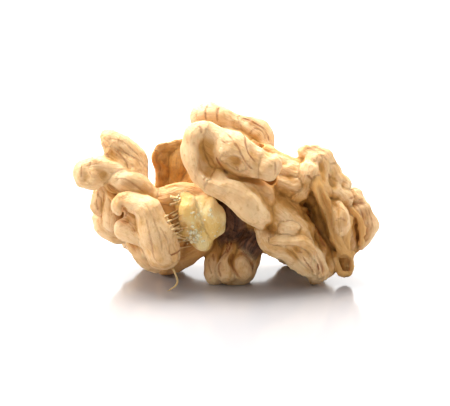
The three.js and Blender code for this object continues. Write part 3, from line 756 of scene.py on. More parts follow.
RIGHT_WING = (
    Lobe("papery_ridge", (
        (3.3, 1.6, 17.5, 0.6), (4.6, 1.2, 17, 0.5), (5.8, 0.8, 16.5, 0.5), (7.3, 0.4, 15.8, 0.5),
        (8.9, 0.2, 15.4, 0.6),
    ), tissue=Tissue.PAPER, melt=0.4),
    Lobe("papery_slope", ((4.6, 2, 15.4, 1.8), (6.3, 1.6, 14.6, 1.8), (8.3, 1.4, 14, 1.8)), melt=0.8),
    Lobe("saddle", ((5.8, 0.2, 12.3, 2.2), (8.1, 0.2, 12, 2.1), (9.8, 0.6, 12.7, 2)), melt=0.9),
    Lobe("saddle_top", ((6.3, -0.4, 15, 1.4), (7.6, -0.6, 14.4, 1.5), (8.9, -0.6, 13.9, 1.4)), melt=0.9),
    Lobe("saddle_fill", ((6.6, -1.4, 12.6, 1.1), (8.3, -1.5, 12.1, 1.1)), melt=0.9),
    Lobe("saddle_fold", ((6.7, -2.2, 13.5, 0.7), (8.1, -2.2, 13.2, 0.8), (9.6, -2, 12.8, 0.7)), melt=0.8),
    Lobe("top_knob", (
        (9.9, 1, 16.5, 1), (11.1, 0.8, 15.9, 1.3), (12.2, 0.6, 15.3, 1.4), (12.6, 0.6, 14.1, 1.4),
    ), melt=0.5),
    Lobe("knob_front", (
        (10.7, -0.6, 15.4, 1.2), (10.4, -1.3, 14.7, 1.4), (10, -1.6, 13.6, 1.3), (9.5, -1.7, 12.5, 1.1),
        (9.1, -2, 11.6, 0.9),
    ), melt=0.6),
    Lobe("knob_middle", (
        (11.5, -0.6, 14.5, 1.4), (11.6, -1.2, 13.3, 1.4), (12.1, -1.4, 12.1, 1.3),
    ), melt=0.8),
    Lobe("right_slope", ((12.6, 0.4, 14.3, 1.4), (13.6, 0.2, 13, 1.3), (14.5, 0.4, 12.3, 1.1)), melt=0.5),
    Lobe("right_slope_low", (
        (12.5, -0.8, 12.8, 1.2), (13.6, -0.8, 11.6, 1.4), (14.8, -0.4, 10.8, 1.2),
    ), melt=0.5),
    Lobe("far_right_top", ((15.5, 1.6, 10.8, 1), (16.1, 1.5, 10.4, 1.2), (16.4, 1.4, 9.2, 1.2)), melt=0.5),
    Lobe("fan", (
        (16.4, 1, 9.3, 1.2), (17.3, 0.8, 8.2, 1.4), (18, 0.6, 7.4, 1.2), (18, 0.4, 6.3, 1.1),
        (17.6, 0.2, 5.1, 0.9), (17.1, 0, 4.4, 0.6),
    ), melt=0.4, flute=0.16),
    Lobe("fan_rim", (
        (15.4, -0.6, 9.8, 0.4), (16.1, -1.2, 9.3, 0.3), (16.7, -1.5, 8.5, 0.3), (16.9, -1.5, 7.4, 0.3),
        (17, -1.4, 6.2, 0.3), (16.9, -1.2, 5.1, 0.4),
    ), tissue=Tissue.PAPER, melt=0.5),
    Lobe("fan_floor", (
        (16, 2.4, 8.1, 1.3), (16.2, 2.2, 6.3, 1.6), (16.1, 1.6, 4.7, 1.4), (15.8, 0.4, 3.9, 1),
    ), tissue=Tissue.PLATE, melt=0.5),
    Lobe("belly", (
        (13.6, -2.4, 10, 1.1), (14.1, -2.9, 9.4, 1.4), (14.2, -2.9, 8.3, 1.4), (14.1, -2.7, 7.3, 0.9),
        (14, -2.4, 6.5, 0.4),
    ), melt=0.3),
    Lobe("belly_root", (
        (13, -0.6, 9.6, 1.4), (14.1, -0.6, 8.4, 1.7), (14.5, -0.6, 6.5, 1.6), (15, -0.4, 4.9, 1.1),
    ), melt=0.6),
    Lobe("belly_flap", (
        (15.5, -2, 8.6, 0.4), (15.3, -2.6, 7.5, 0.6), (15, -2.9, 6.4, 0.7), (15.1, -2.8, 5.2, 0.6),
    ), tissue=Tissue.PAPER, melt=0.3),
    Lobe("folded_ribbon", (
        (10.9, -2.2, 13.7, 0.7), (11.4, -2.8, 12.5, 0.9), (12.1, -3, 10.8, 0.8), (12.8, -3.2, 9.2, 0.7),
        (13.1, -3.2, 7.7, 0.7), (13.8, -3.1, 6.2, 0.9), (14.6, -2.9, 5, 0.9), (15.3, -2.6, 4.3, 0.6),
    ), tissue=Tissue.PAPER, melt=0.4, flute=0.2),
    Lobe("ribbon_back", (
        (11.5, -1, 12.8, 1), (12.6, -1.6, 10.4, 1), (13.4, -1.8, 7.9, 1), (14.4, -1.8, 5.6, 1),
    ), tissue=Tissue.PAPER, melt=0.6),
    Lobe("face_core", (
        (5.3, -1.6, 9.9, 2.6), (7.3, -2.2, 8, 2.7), (9.1, -2.4, 6, 2.6), (10.8, -2.2, 4, 2.2),
        (11.7, -2, 2.4, 1.6),
    ), melt=0.9),
    Lobe("face_low", (
        (4.6, -3.8, 7.6, 1), (5.6, -4.2, 5.9, 1.4), (7.5, -4.2, 5.2, 1.5), (9.4, -3.7, 3.7, 1.4),
        (10.8, -3.1, 2.3, 1.2),
    ), melt=0.7),
    Lobe("face_tip", ((11.3, -3, 2.1, 1.1), (11.2, -1.6, 1, 1.1)), melt=0.7),
    Lobe("face_plane", (
        (5.3, -4, 6.8, 1.1), (7.1, -4.4, 6, 1.2), (9, -4.4, 5.3, 1.3), (10.1, -4.1, 4.3, 1.2),
        (10.8, -3.5, 3, 1.1),
    ), melt=0.9),
    Lobe("face_ridge", (
        (5.7, -4.9, 6.6, 0.6), (7.2, -5.1, 6.6, 0.7), (8.9, -5, 6.4, 0.7), (10.3, -4.7, 5.9, 0.7),
        (11.1, -4.4, 4.8, 0.7), (11.5, -3.8, 3, 0.8), (11.7, -3.2, 1.7, 0.7),
    ), melt=0.6),
    Lobe("face_right", (
        (12, -1.2, 3.6, 1.4), (12.5, -1.5, 2.6, 1.3), (12.7, -1.4, 1.8, 1),
    ), tissue=Tissue.PAPER, melt=0.6),
    Lobe("face_knob", ((7.5, -4.6, 8, 0.9), (8.3, -4.6, 8, 0.9)), melt=0.7),
    Lobe("cup_back", ((14.7, -0.6, 3.3, 1.3), (15, -0.6, 2.2, 1.4)), tissue=Tissue.PLATE, melt=0.5),
    Lobe("cup_rim", (
        (13.7, -2, 4.1, 0.4), (13.8, -2.4, 3.2, 0.3), (14, -2.5, 2.2, 0.3), (14.5, -2.7, 1.7, 0.4),
        (15, -2.5, 1.8, 0.3), (15.4, -2.3, 1.6, 0.3), (15.6, -2.1, 2.5, 0.3), (15.6, -2.2, 3.4, 0.3),
        (15.8, -2.4, 4.5, 0.4), (15, -2.9, 4.1, 0.3), (14, -2.6, 4.3, 0.3),
    ), tissue=Tissue.PAPER, melt=0.4),
    Lobe("valley_wall", (
        (10.6, 0.8, 11.3, 1.9), (11.5, 0.8, 8.7, 1.9), (12.4, 0.6, 5.9, 1.8), (13.3, 0.2, 4, 1.5),
    ), tissue=Tissue.PLATE, melt=0.6),
    Lobe("face_back", (
        (4.1, 0, 8.6, 2.3), (6.2, 0.6, 6.2, 2.3), (8.7, 0.6, 4.5, 2.3), (11.3, 0.2, 3.2, 1.8),
    )),
)

FOOT = (
    Lobe("foot_right_toe", ((2.9, -0.4, 4.5, 1.1), (2.3, -1.6, 3.4, 1.2), (1.9, -2.6, 2.2, 1.5)), melt=0.25),
    Lobe("foot_sole", ((0.5, -1.5, 1.05, 1.3), (1.9, -1.2, 1.05, 1.3))),
    Lobe("foot_side", ((3.6, 0.4, 4.8, 1.3), (3.1, 0, 3.2, 1.4), (2.3, -0.6, 1.6, 1.6)), melt=0.6),
    Lobe("foot_front_toe", ((0.7, -1.4, 4.4, 0.9), (0.3, -2.4, 3.2, 0.9), (0.1, -3, 1.8, 1.3)), melt=0.25),
    Lobe("foot_left_toe", ((-1.1, 0.6, 4.2, 1.6), (-1.4, -0.8, 2.8, 1.3), (-1.4, -1.4, 1.3, 1.4)), melt=0.5),
    Lobe("foot_middle", ((0.6, 0.8, 4, 2), (0.4, 0.2, 1.9, 2)), melt=0.6),
    Lobe("foot_neck", ((3.8, -0.8, 6.1, 1.4), (3.2, -1.2, 4.9, 1.5)), tissue=Tissue.THROAT, melt=0.8),
)

BACK = (
    Lobe("back_wall", (
        (-11.5, 5, 6.4, 2.9), (-5.5, 6.4, 8.2, 3.6), (1, 6.9, 9.3, 4), (7, 6.4, 8.4, 3.6),
        (12.4, 5, 7.4, 2.6),
    )),
    Lobe("back_fold_a", (
        (-2.5, 6.9, 14.3, 1.7), (-3.5, 8.6, 12, 1.9), (-2.6, 9.6, 9.8, 1.9), (-4.4, 9.4, 7.8, 1.9),
        (-3.4, 8.8, 5.6, 1.8), (-4.6, 7.8, 4, 1.6),
    )),
    Lobe("back_fold_b", (
        (-5.6, 6.2, 11.4, 1.5), (-7.4, 7.8, 10, 1.8), (-7, 8.8, 8, 1.8), (-8.4, 8.3, 6, 1.8),
        (-7, 8, 3.8, 1.8),
    )),
    Lobe("back_fold_c", (
        (-9.8, 6.2, 8.6, 1.6), (-11.3, 7, 7.6, 1.8), (-10.6, 7.6, 5.6, 1.8), (-11.6, 6.6, 4, 1.6),
    )),
    Lobe("back_fold_d", ((-14.4, 4.2, 7.4, 1.6), (-14, 5.6, 5.8, 1.7), (-13, 6, 4.4, 1.5))),
    Lobe("back_left_sole", ((-11, 5.8, 3.6, 2), (-8.6, 6.6, 2.1, 2.4), (-6, 6.6, 3.2, 2))),
    Lobe("back_fold_e", (
        (1.2, 6.6, 15.6, 1.8), (2.3, 8.4, 13.4, 2), (1.2, 9.5, 11.2, 2), (2.4, 9.7, 8.6, 2),
        (0.9, 9.2, 6.2, 1.9), (2, 8, 4.4, 1.7),
    )),
    Lobe("back_fold_f", (
        (4.8, 6.2, 13.8, 1.7), (6, 8, 11.8, 1.9), (5.2, 9.1, 9.6, 1.9), (6.8, 8.9, 7.2, 2),
        (5.6, 8.2, 4.8, 1.9),
    )),
    Lobe("back_fold_g", (
        (8.6, 6, 12, 1.6), (9.8, 7.4, 10.2, 1.8), (9, 8.4, 8.2, 1.8), (10.5, 7.9, 6, 1.9), (9.6, 7.2, 4, 1.9),
    )),
    Lobe("back_right_sole", ((6.6, 6.6, 3.4, 2), (9.4, 6.6, 2.1, 2.4), (12, 5.8, 3.8, 1.8))),
    Lobe("back_fold_h", (
        (12.2, 4.8, 10.6, 1.5), (13.2, 5.8, 8.8, 1.7), (12.4, 6.5, 6.6, 1.7), (13.2, 5.6, 4.8, 1.6),
    )),
    Lobe("back_right_edge", (
        (14.6, 3.8, 10, 1.4), (15.6, 4.4, 8.2, 1.6), (15, 4.6, 6, 1.6), (13.8, 4.6, 4.4, 1.6),
    )),
)

HOLLOWS = (
    Lobe("finger_hollow", (
        (-17.2, -3.1, 15.9, 0.5), (-17.6, -3.2, 15.1, 0.5), (-17.3, -3.1, 14.1, 0.5),
    ), melt=0.6),
    Lobe("finger_dip", ((-16.4, -3.2, 15.7, 0.5), (-15.7, -3.2, 15.3, 0.5), (-15, -3, 14.6, 0.5)), melt=0.6),
    Lobe("cup_hollow", ((14.7, -3.4, 3.8, 0.6), (14.8, -3.4, 2.9, 0.7)), melt=0.3),
    Lobe("face_dip", ((8.2, -5.2, 10.4, 1), (9.2, -5.4, 9.4, 1)), melt=0.6),
    Lobe("crown_gap", (
        (-4.9, 0.4, 19.9, 0.4), (-3.2, 0.6, 20.4, 0.4), (-0.7, 0.9, 19.8, 0.5), (1.6, 1, 19, 0.5),
        (3.3, 1, 18.1, 0.5), (4.6, 1.2, 17, 0.4),
    ), melt=0.3),
    Lobe("valley_hollow", (
        (9.6, -4, 10.8, 0.7), (10.7, -4.2, 8.8, 1), (11.7, -4.2, 7, 1), (12.6, -3.8, 5.5, 0.7),
    ), melt=0.5),
    Lobe("fan_hollow", ((16.2, -0.8, 7.9, 0.6), (16.3, -0.8, 6.7, 0.6), (16.3, -0.8, 5.7, 0.5)), melt=0.3),
)


def wrinkled(lobes: tuple[Lobe, ...], height: float) -> tuple[Lobe, ...]:
    """Gives the lobes wrinkles of this height, except where one has its own."""
    return tuple(lobe if lobe.flute else replace(lobe, flute=height) for lobe in lobes)


LOBES = (
    *wrinkled(CORES, 0.1),
    *wrinkled(LEFT_WING, 0.08),
    *wrinkled(MIDDLE, 0.12),
    *wrinkled(CROWN, 0.05),
    *wrinkled(RIGHT_WING, 0.22),
    *wrinkled(FOOT, 0.08),
    *wrinkled(BACK[:1], 0.12),
    *(replace(fold, melt=0.9, flute=0.2) for fold in BACK[1:]),
)


def vein(strength: float, *path: Point, width: float = 0.12) -> Stroke:
    """Draws a fine line of colour."""
    return Stroke(Mark.VEIN, width, strength, path)


def groove(width: float, depth: float, *path: Point) -> Stroke:
    """Draws a groove."""
    return Stroke(Mark.GROOVE, width, depth, path)


def crease(width: float, depth: float, *path: Point) -> Stroke:
    """Draws a groove with a line of colour at its bottom."""
    return Stroke(Mark.CREASE, width, depth, path)


def ridge(width: float, height: float, *path: Point) -> Stroke:
    """Draws a ridge."""
    return Stroke(Mark.RIDGE, width, height, path)


def stain(width: float, strength: float, *path: Point) -> Stroke:
    """Draws a dark spot."""
    return Stroke(Mark.STAIN, width, strength, path)


STROKES = (
    # the crown behind
    groove(0.8, 0.15, (1.8, 20.9), (2.9, 19.9), (3.9, 18.8)),
    crease(0.3, 0.12, (-0.4, 21.9), (-0.7, 21.5), (-0.9, 20.5), (-0.9, 19.8)),
    vein(0.5, (-2.1, 22.3), (-2.4, 21.5), (-2.4, 20.5), (-2.3, 20), width=0.13),
    vein(0.3, (-3.6, 21.5), (-3.7, 20.5)),
    vein(0.6, (1.8, 20.6), (2.9, 20.2), (3.8, 19.7), (4.7, 19.2), (5.2, 18.2), (5.4, 17.3), width=0.13),
    vein(0.4, (2.7, 18.2), (3.1, 18.9), (3.8, 19.2), (4.6, 18.7), (4.9, 17.7)),
    # the crown in front
    crease(0.3, 0.25, (-3.5, 19.2), (-3.1, 18.7), (-3.1, 18.1)),
    groove(1.3, 0.45, (-3.2, 17.9), (-2.4, 16.5), (-1.6, 15.2), (-0.7, 14.2), (0.2, 13.3)),
    groove(0.8, 0.45, (3.1, 16.9), (3.6, 15.8), (3.7, 14.7), (3.3, 13.5)),
    groove(0.8, 0.2, (-0.6, 17.5), (0.4, 17.3)),
    groove(0.5, 0.7, (0.2, 13.2), (1.6, 12.7), (3.1, 12.5), (4.8, 12.4), (6.2, 12.5)),
    vein(0.5,
        (-0.8, 19.1), (0.1, 18.3), (0.9, 17.4), (1.7, 16.5), (2.1, 15.5), (2.7, 14.3), (3.6, 13.8),
        width=0.13,
    ),
    vein(0.6, (1.5, 18.6), (2.2, 17.9), (2.5, 17.1), (2.8, 16.1), (3.3, 15.2), (4, 14.5), width=0.14),
    vein(0.35, (-0.6, 17.8), (-0.1, 17.2), (1, 17.2), (1.6, 16.4)),
    vein(0.6, (-1.2, 15.6), (-0.8, 14.8), (-0.3, 14), (0.3, 13.3), width=0.16),
    vein(0.5, (1.3, 14.3), (1.5, 13.6)),
    vein(0.45, (6, 15), (6.2, 14.1), (6.2, 13)),
    vein(0.4, (-3.6, 14.1), (-3.8, 13.4), (-3.6, 12.7)),
    vein(0.5, (-1.6, 13.4), (-2.3, 13), (-2.7, 12.6)),
    groove(0.7, 0.35, (1.8, 12.3), (3.1, 11.5), (4.3, 10.7), (5.3, 9.8), (6.2, 8.7)),
    stain(0.22, 0.9, (0.2, 13.4), (0.3, 13.3)),
    stain(0.22, 0.7, (6.6, 13.3), (6.6, 13.2)),
    # the left wing
    groove(0.6, 0.5, (-14.9, 16.2), (-14.2, 15.7), (-13.2, 15.3), (-12.2, 14.4), (-11.4, 13.2)),
    groove(0.5, 0.2, (-13.9, 16.5), (-12.9, 16), (-11.9, 15.2)),
    crease(0.4, 0.4, (-15.7, 15.8), (-15.1, 15.9), (-14.4, 15.5)),
    groove(0.6, 0.25, (-16.7, 15.2), (-15.9, 14.7), (-15.3, 13.8)),
    groove(0.6, 0.5, (-15.4, 13.7), (-15.1, 13.4), (-14.8, 12.5)),
    crease(0.4, 0.4, (-14.8, 12.4), (-14, 11.5), (-13.7, 11.2), (-12.9, 11)),
    vein(0.35, (-14.6, 17.7), (-13, 17.2), (-11.8, 16.4), (-10.8, 15.3)),
    vein(0.35, (-13.7, 16.9), (-12.4, 15.9), (-11.1, 15), (-10.2, 13.7)),
    vein(0.4, (-17.8, 14.8), (-17.9, 13.7), (-17.7, 12.8)),
    vein(0.3, (-13.5, 13.6), (-12.4, 13.7), (-11.6, 13.2)),
    crease(0.35, 0.45, (-13.1, 9.8), (-12.6, 9.2), (-12.4, 8.3), (-12.7, 7.7)),
    groove(0.5, 0.5, (-13.7, 7.6), (-12.4, 7.5), (-11.3, 7.3)),
    groove(0.6, 0.4, (-11.2, 7.4), (-10.8, 6.2), (-10.3, 4.4), (-9.3, 2.4)),
    groove(0.5, 0.3, (-12.2, 4.7), (-11.4, 4.4), (-10.6, 3.9)),
    groove(0.45, 0.15, (-10.8, 5.3), (-9.5, 3.5), (-8.2, 1.8)),
    vein(0.35, (-11.3, 4.9), (-10.5, 3.7), (-9.2, 2.1)),
    vein(0.3, (-11.8, 2.7), (-10.5, 1.6), (-9.7, 1.1)),
    vein(0.3, (-8.9, 8.4), (-8.2, 6), (-7.7, 3.6)),
    vein(0.35, (-9.9, 8.4), (-9.3, 6.4), (-8.9, 4.2), (-8.6, 2.4)),
    vein(0.4, (-8.2, 7.4), (-7.3, 5.4), (-6.7, 3.4)),
    vein(0.5, (-13.6, 6.9), (-12.7, 7.3), (-11.6, 6.9), (-10.8, 6)),
    vein(0.4, (-14.4, 16.9), (-13.6, 16.2), (-12.7, 15.2), (-12.2, 13.9)),
    vein(0.4, (-16.7, 15.2), (-16.9, 13.9), (-16.4, 12.7)),
    vein(0.4, (-14.1, 12.5), (-12.7, 12.7), (-11.2, 11.9), (-9.7, 10.7)),
    vein(0.5, (-16.2, 8.2), (-15.8, 6.9), (-14.9, 5.7)),
    vein(0.5, (-15.9, 11.4), (-16.3, 10.2), (-16.1, 8.9)),
    vein(0.5, (-15.2, 11.4), (-15.5, 10), (-15.3, 8.7)),
    groove(0.4, 0.3, (-15.2, 11.4), (-15.6, 10.2), (-15.7, 9)),
    ridge(0.2, 0.25, (-15.6, 11.9), (-16.1, 11), (-16.5, 9.8), (-16.3, 9)),
    # the broken middle
    crease(0.3, 0.4, (-5.6, 10.2), (-5.9, 8.7), (-5.8, 7.2), (-5.2, 5.8)),
    crease(0.25, 0.25, (-2.4, 10.2), (-2.8, 9.2), (-2.9, 7.9), (-2.6, 6.7)),
    groove(0.3, 0.2, (-4.9, 9.4), (-4.4, 8.2), (-4.7, 6.9)),
    groove(0.5, 0.3, (-7.1, 3.9), (-5.9, 4.4), (-4.8, 5.4)),
    groove(0.4, 0.25, (-6.7, 2.9), (-5.2, 3.7), (-3.9, 4.4)),
    vein(0.8, (-6.9, 3.4), (-5.6, 4), (-4.4, 4.9), width=0.14),
    vein(0.8, (-6.2, 2.4), (-4.7, 3.2), (-3.2, 3.9), width=0.14),
    groove(0.5, 0.5, (-3.4, 10), (-3.4, 8.7), (-3.3, 7.4), (-3.2, 6.4)),
    groove(0.5, 0.3, (-2.6, 6.3), (-1.7, 5.7)),
    groove(0.4, 0.2, (-4.8, 5.9), (-4.1, 6.3), (-3.6, 6.5)),
    vein(0.8, (0.3, 8.4), (0.8, 7.4), (1.8, 6.9), (2.8, 7.4), width=0.14),
    vein(0.8, (0.1, 7.8), (0.7, 6.7), (1.8, 6.2), (3.1, 6.7), width=0.14),
    groove(0.4, 0.3, (0.8, 8.9), (1.4, 8), (2.6, 7.9)),
    groove(0.5, 0.5, (-0.2, 6.2), (0.8, 5.7), (2.1, 5.4), (3.3, 6.2)),
    crease(0.3, 0.3, (0.1, 7.4), (0.6, 6.3), (1.8, 5.9), (3.1, 6.4)),
    crease(0.2, 0.1, (-8.3, 11.5), (-6.9, 11.8), (-5.4, 11.4), (-4.1, 11.3)),
    groove(0.3, 0.3, (-8.5, 16.3), (-8.5, 14.9), (-8.4, 13.2)),
    # the foot
    crease(0.35, 0.45, (1.2, 3.8), (1, 3), (0.9, 2.2), (1.2, 1.4), (1.7, 0.5), (2.2, 0.2)),
    crease(0.3, 0.3, (1.3, 3), (2.1, 3.4), (2.9, 3), (3.4, 2.2), (3.3, 1.2)),
    vein(0.8, (0.4, 5.2), (0.1, 3.9), (-0.6, 2.9), width=0.14),
    vein(0.8, (1.1, 5.4), (0.7, 4.4), (0.1, 3.4), width=0.14),
    vein(0.8, (3.1, 5.2), (2.2, 4.3), (1.4, 3.8), width=0.14),
    crease(0.3, 0.3, (-0.4, 2.4), (-0.8, 1.4), (-0.6, 0.4)),
    crease(0.25, 0.2, (-2.1, 2.9), (-2.1, 1.9), (-1.7, 0.7)),
    crease(0.25, 0.2, (-1.6, 3.4), (-1.4, 2.4)),
    # the right wing
    crease(0.25, 0.5, (9.8, 13.2), (10.5, 12.5)),
    groove(0.6, 0.5, (9.7, 15.4), (10.7, 15.2), (11.6, 14.5), (12.1, 13.4), (12.1, 12.2)),
    crease(0.35, 0.25, (12.6, 13.5), (13.4, 12.1), (13.8, 11.6)),
    groove(0.9, 0.25, (12.6, 11), (13.2, 10.8), (13.6, 10.3)),
    groove(0.5, 0.15, (13.8, 13.7), (13.6, 12.7), (14.1, 11.5)),
    groove(0.5, 0.4, (14.9, 12.7), (14.8, 11.7), (15.1, 10.8)),
    crease(0.3, 0.2, (15.6, 11.4), (16.3, 11.6), (17.1, 11.2)),
    crease(0.3, 0.25, (15.5, 10.3), (16.3, 10.7), (17.2, 10.2)),
    crease(0.25, 0.2, (15.8, 9.7), (16.8, 9.7), (17.7, 9.2)),
    groove(0.35, 0.15, (17.6, 8.9), (18.1, 7.4), (18.1, 5.9)),
    groove(0.35, 0.15, (16.9, 9), (17.4, 7.7), (17.6, 6.2), (17.3, 4.9)),
    groove(0.35, 0.15, (18.2, 8.8), (18.6, 7.4), (18.3, 6.3)),
    ridge(0.25, 0.3, (15.7, 7.4), (15.1, 6.3), (14.2, 5.4)),
    ridge(0.25, 0.35, (12.1, 11.2), (12.8, 9.5), (13.5, 8), (13.6, 6.5), (14.4, 5.3), (15.2, 4.2)),
    ridge(0.22, 0.3,
        (10.8, 12.2), (11.4, 10.4), (12, 8.9), (12.5, 7.4), (12.8, 6.1), (13.5, 4.8), (14.3, 3.7),
    ),
    crease(0.3, 0.35, (11.3, 11.9), (11.9, 10.4), (12.5, 8.7), (12.9, 7.2), (13.3, 5.9), (14.2, 4.7)),
    groove(0.5, 0.5, (12.9, 10.3), (13.6, 9.4), (13.6, 8.4), (13.8, 6.9), (14.1, 5.7)),
    groove(0.35, 0.25, (13.2, 5.9), (13.9, 4.8), (14.7, 3.8)),
    crease(0.5, 0.6, (9.9, 9.8), (10.7, 7.9), (11.4, 6.3), (12.2, 4.8), (12.8, 3.8)),
    ridge(0.25, 0.5, (9, 9.1), (10.2, 8.5), (10.9, 7.4)),
    groove(0.7, 0.4, (8.9, 8.5), (9.8, 8), (10.6, 7)),
    groove(0.35, 0.3, (7.2, 6.8), (7.9, 6.4), (8.7, 6.8)),
    ridge(0.25, 0.2, (7.3, 6.2), (8.1, 6.5), (8.8, 6)),
    ridge(0.4, 0.35, (5.8, 5), (7.3, 5.2), (8.9, 4.9), (10.7, 4.5), (11.2, 3.6), (11.4, 1.5), (11.7, 0.2)),
    vein(0.6, (9.5, 3.7), (10.3, 2.2), (11.2, 0.7)),
    vein(0.4, (10.2, 2.3), (10.7, 1.5), (11.3, 0.7), width=0.1),
    vein(0.7, (11.3, 2.9), (11.4, 1.9), (11.5, 0.8)),
    groove(0.5, 0.35, (5.6, 4.5), (6.8, 3.8), (8.3, 3.3), (9.7, 2.3)),
    groove(0.4, 0.4, (6.7, 5.7), (7.4, 5.3), (8.2, 5.4), (8.9, 5.2)),
    ridge(0.2, 0.25, (7.2, 4.8), (7.8, 5.3), (8.4, 4.9)),
    crease(0.25, 0.25, (8.3, 4.4), (8.9, 3.9), (9.8, 3.7)),
    groove(0.4, 0.15, (7.1, 13.2), (8.1, 12.9), (8.9, 13.2)),
    ridge(0.3, 0.2, (7.1, 12.2), (8.3, 11.9), (9.3, 12.2)),
    groove(0.6, 0.4, (4.6, 16.2), (6.1, 15.4), (7.8, 14.8)),
    groove(0.8, 0.3, (6.3, 11.4), (7.3, 10.7), (8.3, 10.3)),
    groove(0.5, 0.3, (4.6, 7.4), (5.6, 6.7), (6.4, 6.2)),
    ridge(0.2, 0.3, (13.7, 3.8), (13.4, 2.3), (13, 1.2)),
    crease(0.2, 0.3, (10.8, 4.2), (11.4, 3.4), (11.8, 1.9), (11.9, 0.7)),
    groove(0.35, 0.4, (14.6, 4.3), (14.9, 3.5)),
    ridge(0.22, 0.3, (13.7, 3.2), (14.7, 3.6), (15.7, 3.9)),
    groove(0.3, 0.3, (13.9, 1.4), (14.4, 1.1), (14.3, 0.7)),
    groove(0.3, 0.3, (15.4, 1.5), (15.8, 1.3)),
    vein(0.5, (15.9, 10.2), (16.7, 9.2), (17.2, 7.8), (17.4, 6.2)),
    vein(0.45, (16.4, 10.5), (17.3, 9.3), (17.8, 7.8), (17.9, 6.2)),
    vein(0.4, (16.9, 9.5), (17.9, 8.7), (18.4, 7.4), (18.2, 6)),
    vein(0.4, (16.6, 8.7), (17, 7.4), (17.2, 5.9), (17, 4.7)),
    vein(0.35, (13.1, 8.4), (13.9, 9.1), (14.9, 8.7)),
    vein(0.35, (13.2, 7.3), (14.1, 7.8), (15.3, 7.4)),
    vein(0.4, (13.6, 5.9), (14.4, 6.5), (15.6, 7.5)),
    vein(0.45, (9.7, 16.5), (10.7, 16.4), (11.8, 15.7), (12.7, 14.5)),
    vein(0.4, (10.4, 16.8), (11.8, 16.3), (13.1, 15.2)),
    vein(0.45, (11.7, 11.4), (12.4, 9.5), (12.9, 8), (13.1, 6.4)),
    vein(0.45, (13.2, 6.2), (13.9, 4.9), (14.9, 3.9)),
    vein(0.5, (12.8, 5.9), (13.6, 4.5), (14.4, 3.4)),
    groove(0.5, 0.4, (13.1, 3.9), (12.8, 2.4), (12.6, 1.2)),
    stain(0.25, 0.8, (11.8, 0.5), (11.9, 0.6)),
)

# Heaps of crumbs: the middle across and up, the spread and the number.
CRUMB_HEAPS = (
    (-3.6, 5.5, (0.62, 0.62), 34),
    (-4.3, 6.3, (0.38, 0.38), 10),
    (-2.9, 4.4, (0.38, 0.25), 8),
    (-5.8, 10.4, (0.25, 0.25), 5),
    (-1.4, 5.8, (0.25, 0.25), 6),
    (-2.2, 7.9, (0.5, 0.88), 7),
    (-4.2, 8.4, (0.5, 0.75), 6),
)

# Rows of strands: where the roots run, where the tips run and the number.
STRAND_ROWS = (
    (((-7.1, 8.3), (-6.6, 5.9)), ((-5.2, 9.4), (-4.8, 6.5)), 7),
    (((-6.4, 5.7), (-5.8, 4.4)), ((-4.7, 5.7), (-4.2, 4.4)), 4),
    (((-6.7, 10.3), (-7.1, 9.2)), ((-5.4, 10.5), (-5.4, 9.7)), 3),
)

FIBRE = ((-6.6, -4.9, 3.1), (-6.2, -4.9, 2.2), (-6.0, -4.7, 1.3), (-6.3, -4.5, 0.6), (-7.0, -4.3, 0.1))
FIBRE_FORK = ((-6.6, -4.4, 0.4), (-6.9, -4.7, 0.2), (-7.3, -4.9, 0.1))


# ---------------------------------------------------------------------------------------------
# Shader expressions


@dataclass(frozen=True)
class Wire:
    """One value in a material. Python's arithmetic on it adds Math nodes."""

    graph: "Graph"
    socket: Any

    def _maths(self, operation: str, *values: Any) -> "Wire":
        """Adds a Math node on these values."""
        return self.graph.node("ShaderNodeMath", {"operation": operation}, dict(enumerate(values)))[0]

    def __add__(self, other: "Wire | float") -> "Wire":
        """Adds."""
        return self._maths("ADD", self, other)

    def __radd__(self, other: float) -> "Wire":
        """Adds to a number."""
        return self._maths("ADD", other, self)

    def __sub__(self, other: "Wire | float") -> "Wire":
        """Subtracts."""
        return self._maths("SUBTRACT", self, other)

    def __rsub__(self, other: float) -> "Wire":
        """Subtracts from a number."""
        return self._maths("SUBTRACT", other, self)

    def __mul__(self, other: "Wire | float") -> "Wire":
        """Multiplies."""
        return self._maths("MULTIPLY", self, other)

    def __rmul__(self, other: float) -> "Wire":
        """Multiplies a number."""
        return self._maths("MULTIPLY", other, self)

    def rise(self, start: float, stop: float, low: float = 0.0, high: float = 1.0) -> "Wire":
        """Goes smoothly from `low` to `high` as the value goes from `start` to `stop`."""
        return self.graph.node(
            "ShaderNodeMapRange",
            {"interpolation_type": "SMOOTHSTEP", "clamp": True},
            {"Value": self, "From Min": start, "From Max": stop, "To Min": low, "To Max": high},
        )["Result"]


Value = Wire | float | tuple[float, ...]


@dataclass(frozen=True)
class Outputs:
    """The outputs of one node, by name or number."""

    graph: "Graph"
    item: Any

    def __getitem__(self, key: str | int) -> Wire:
        """Gives one output as a wire."""
        return Wire(self.graph, self.item.outputs[key])


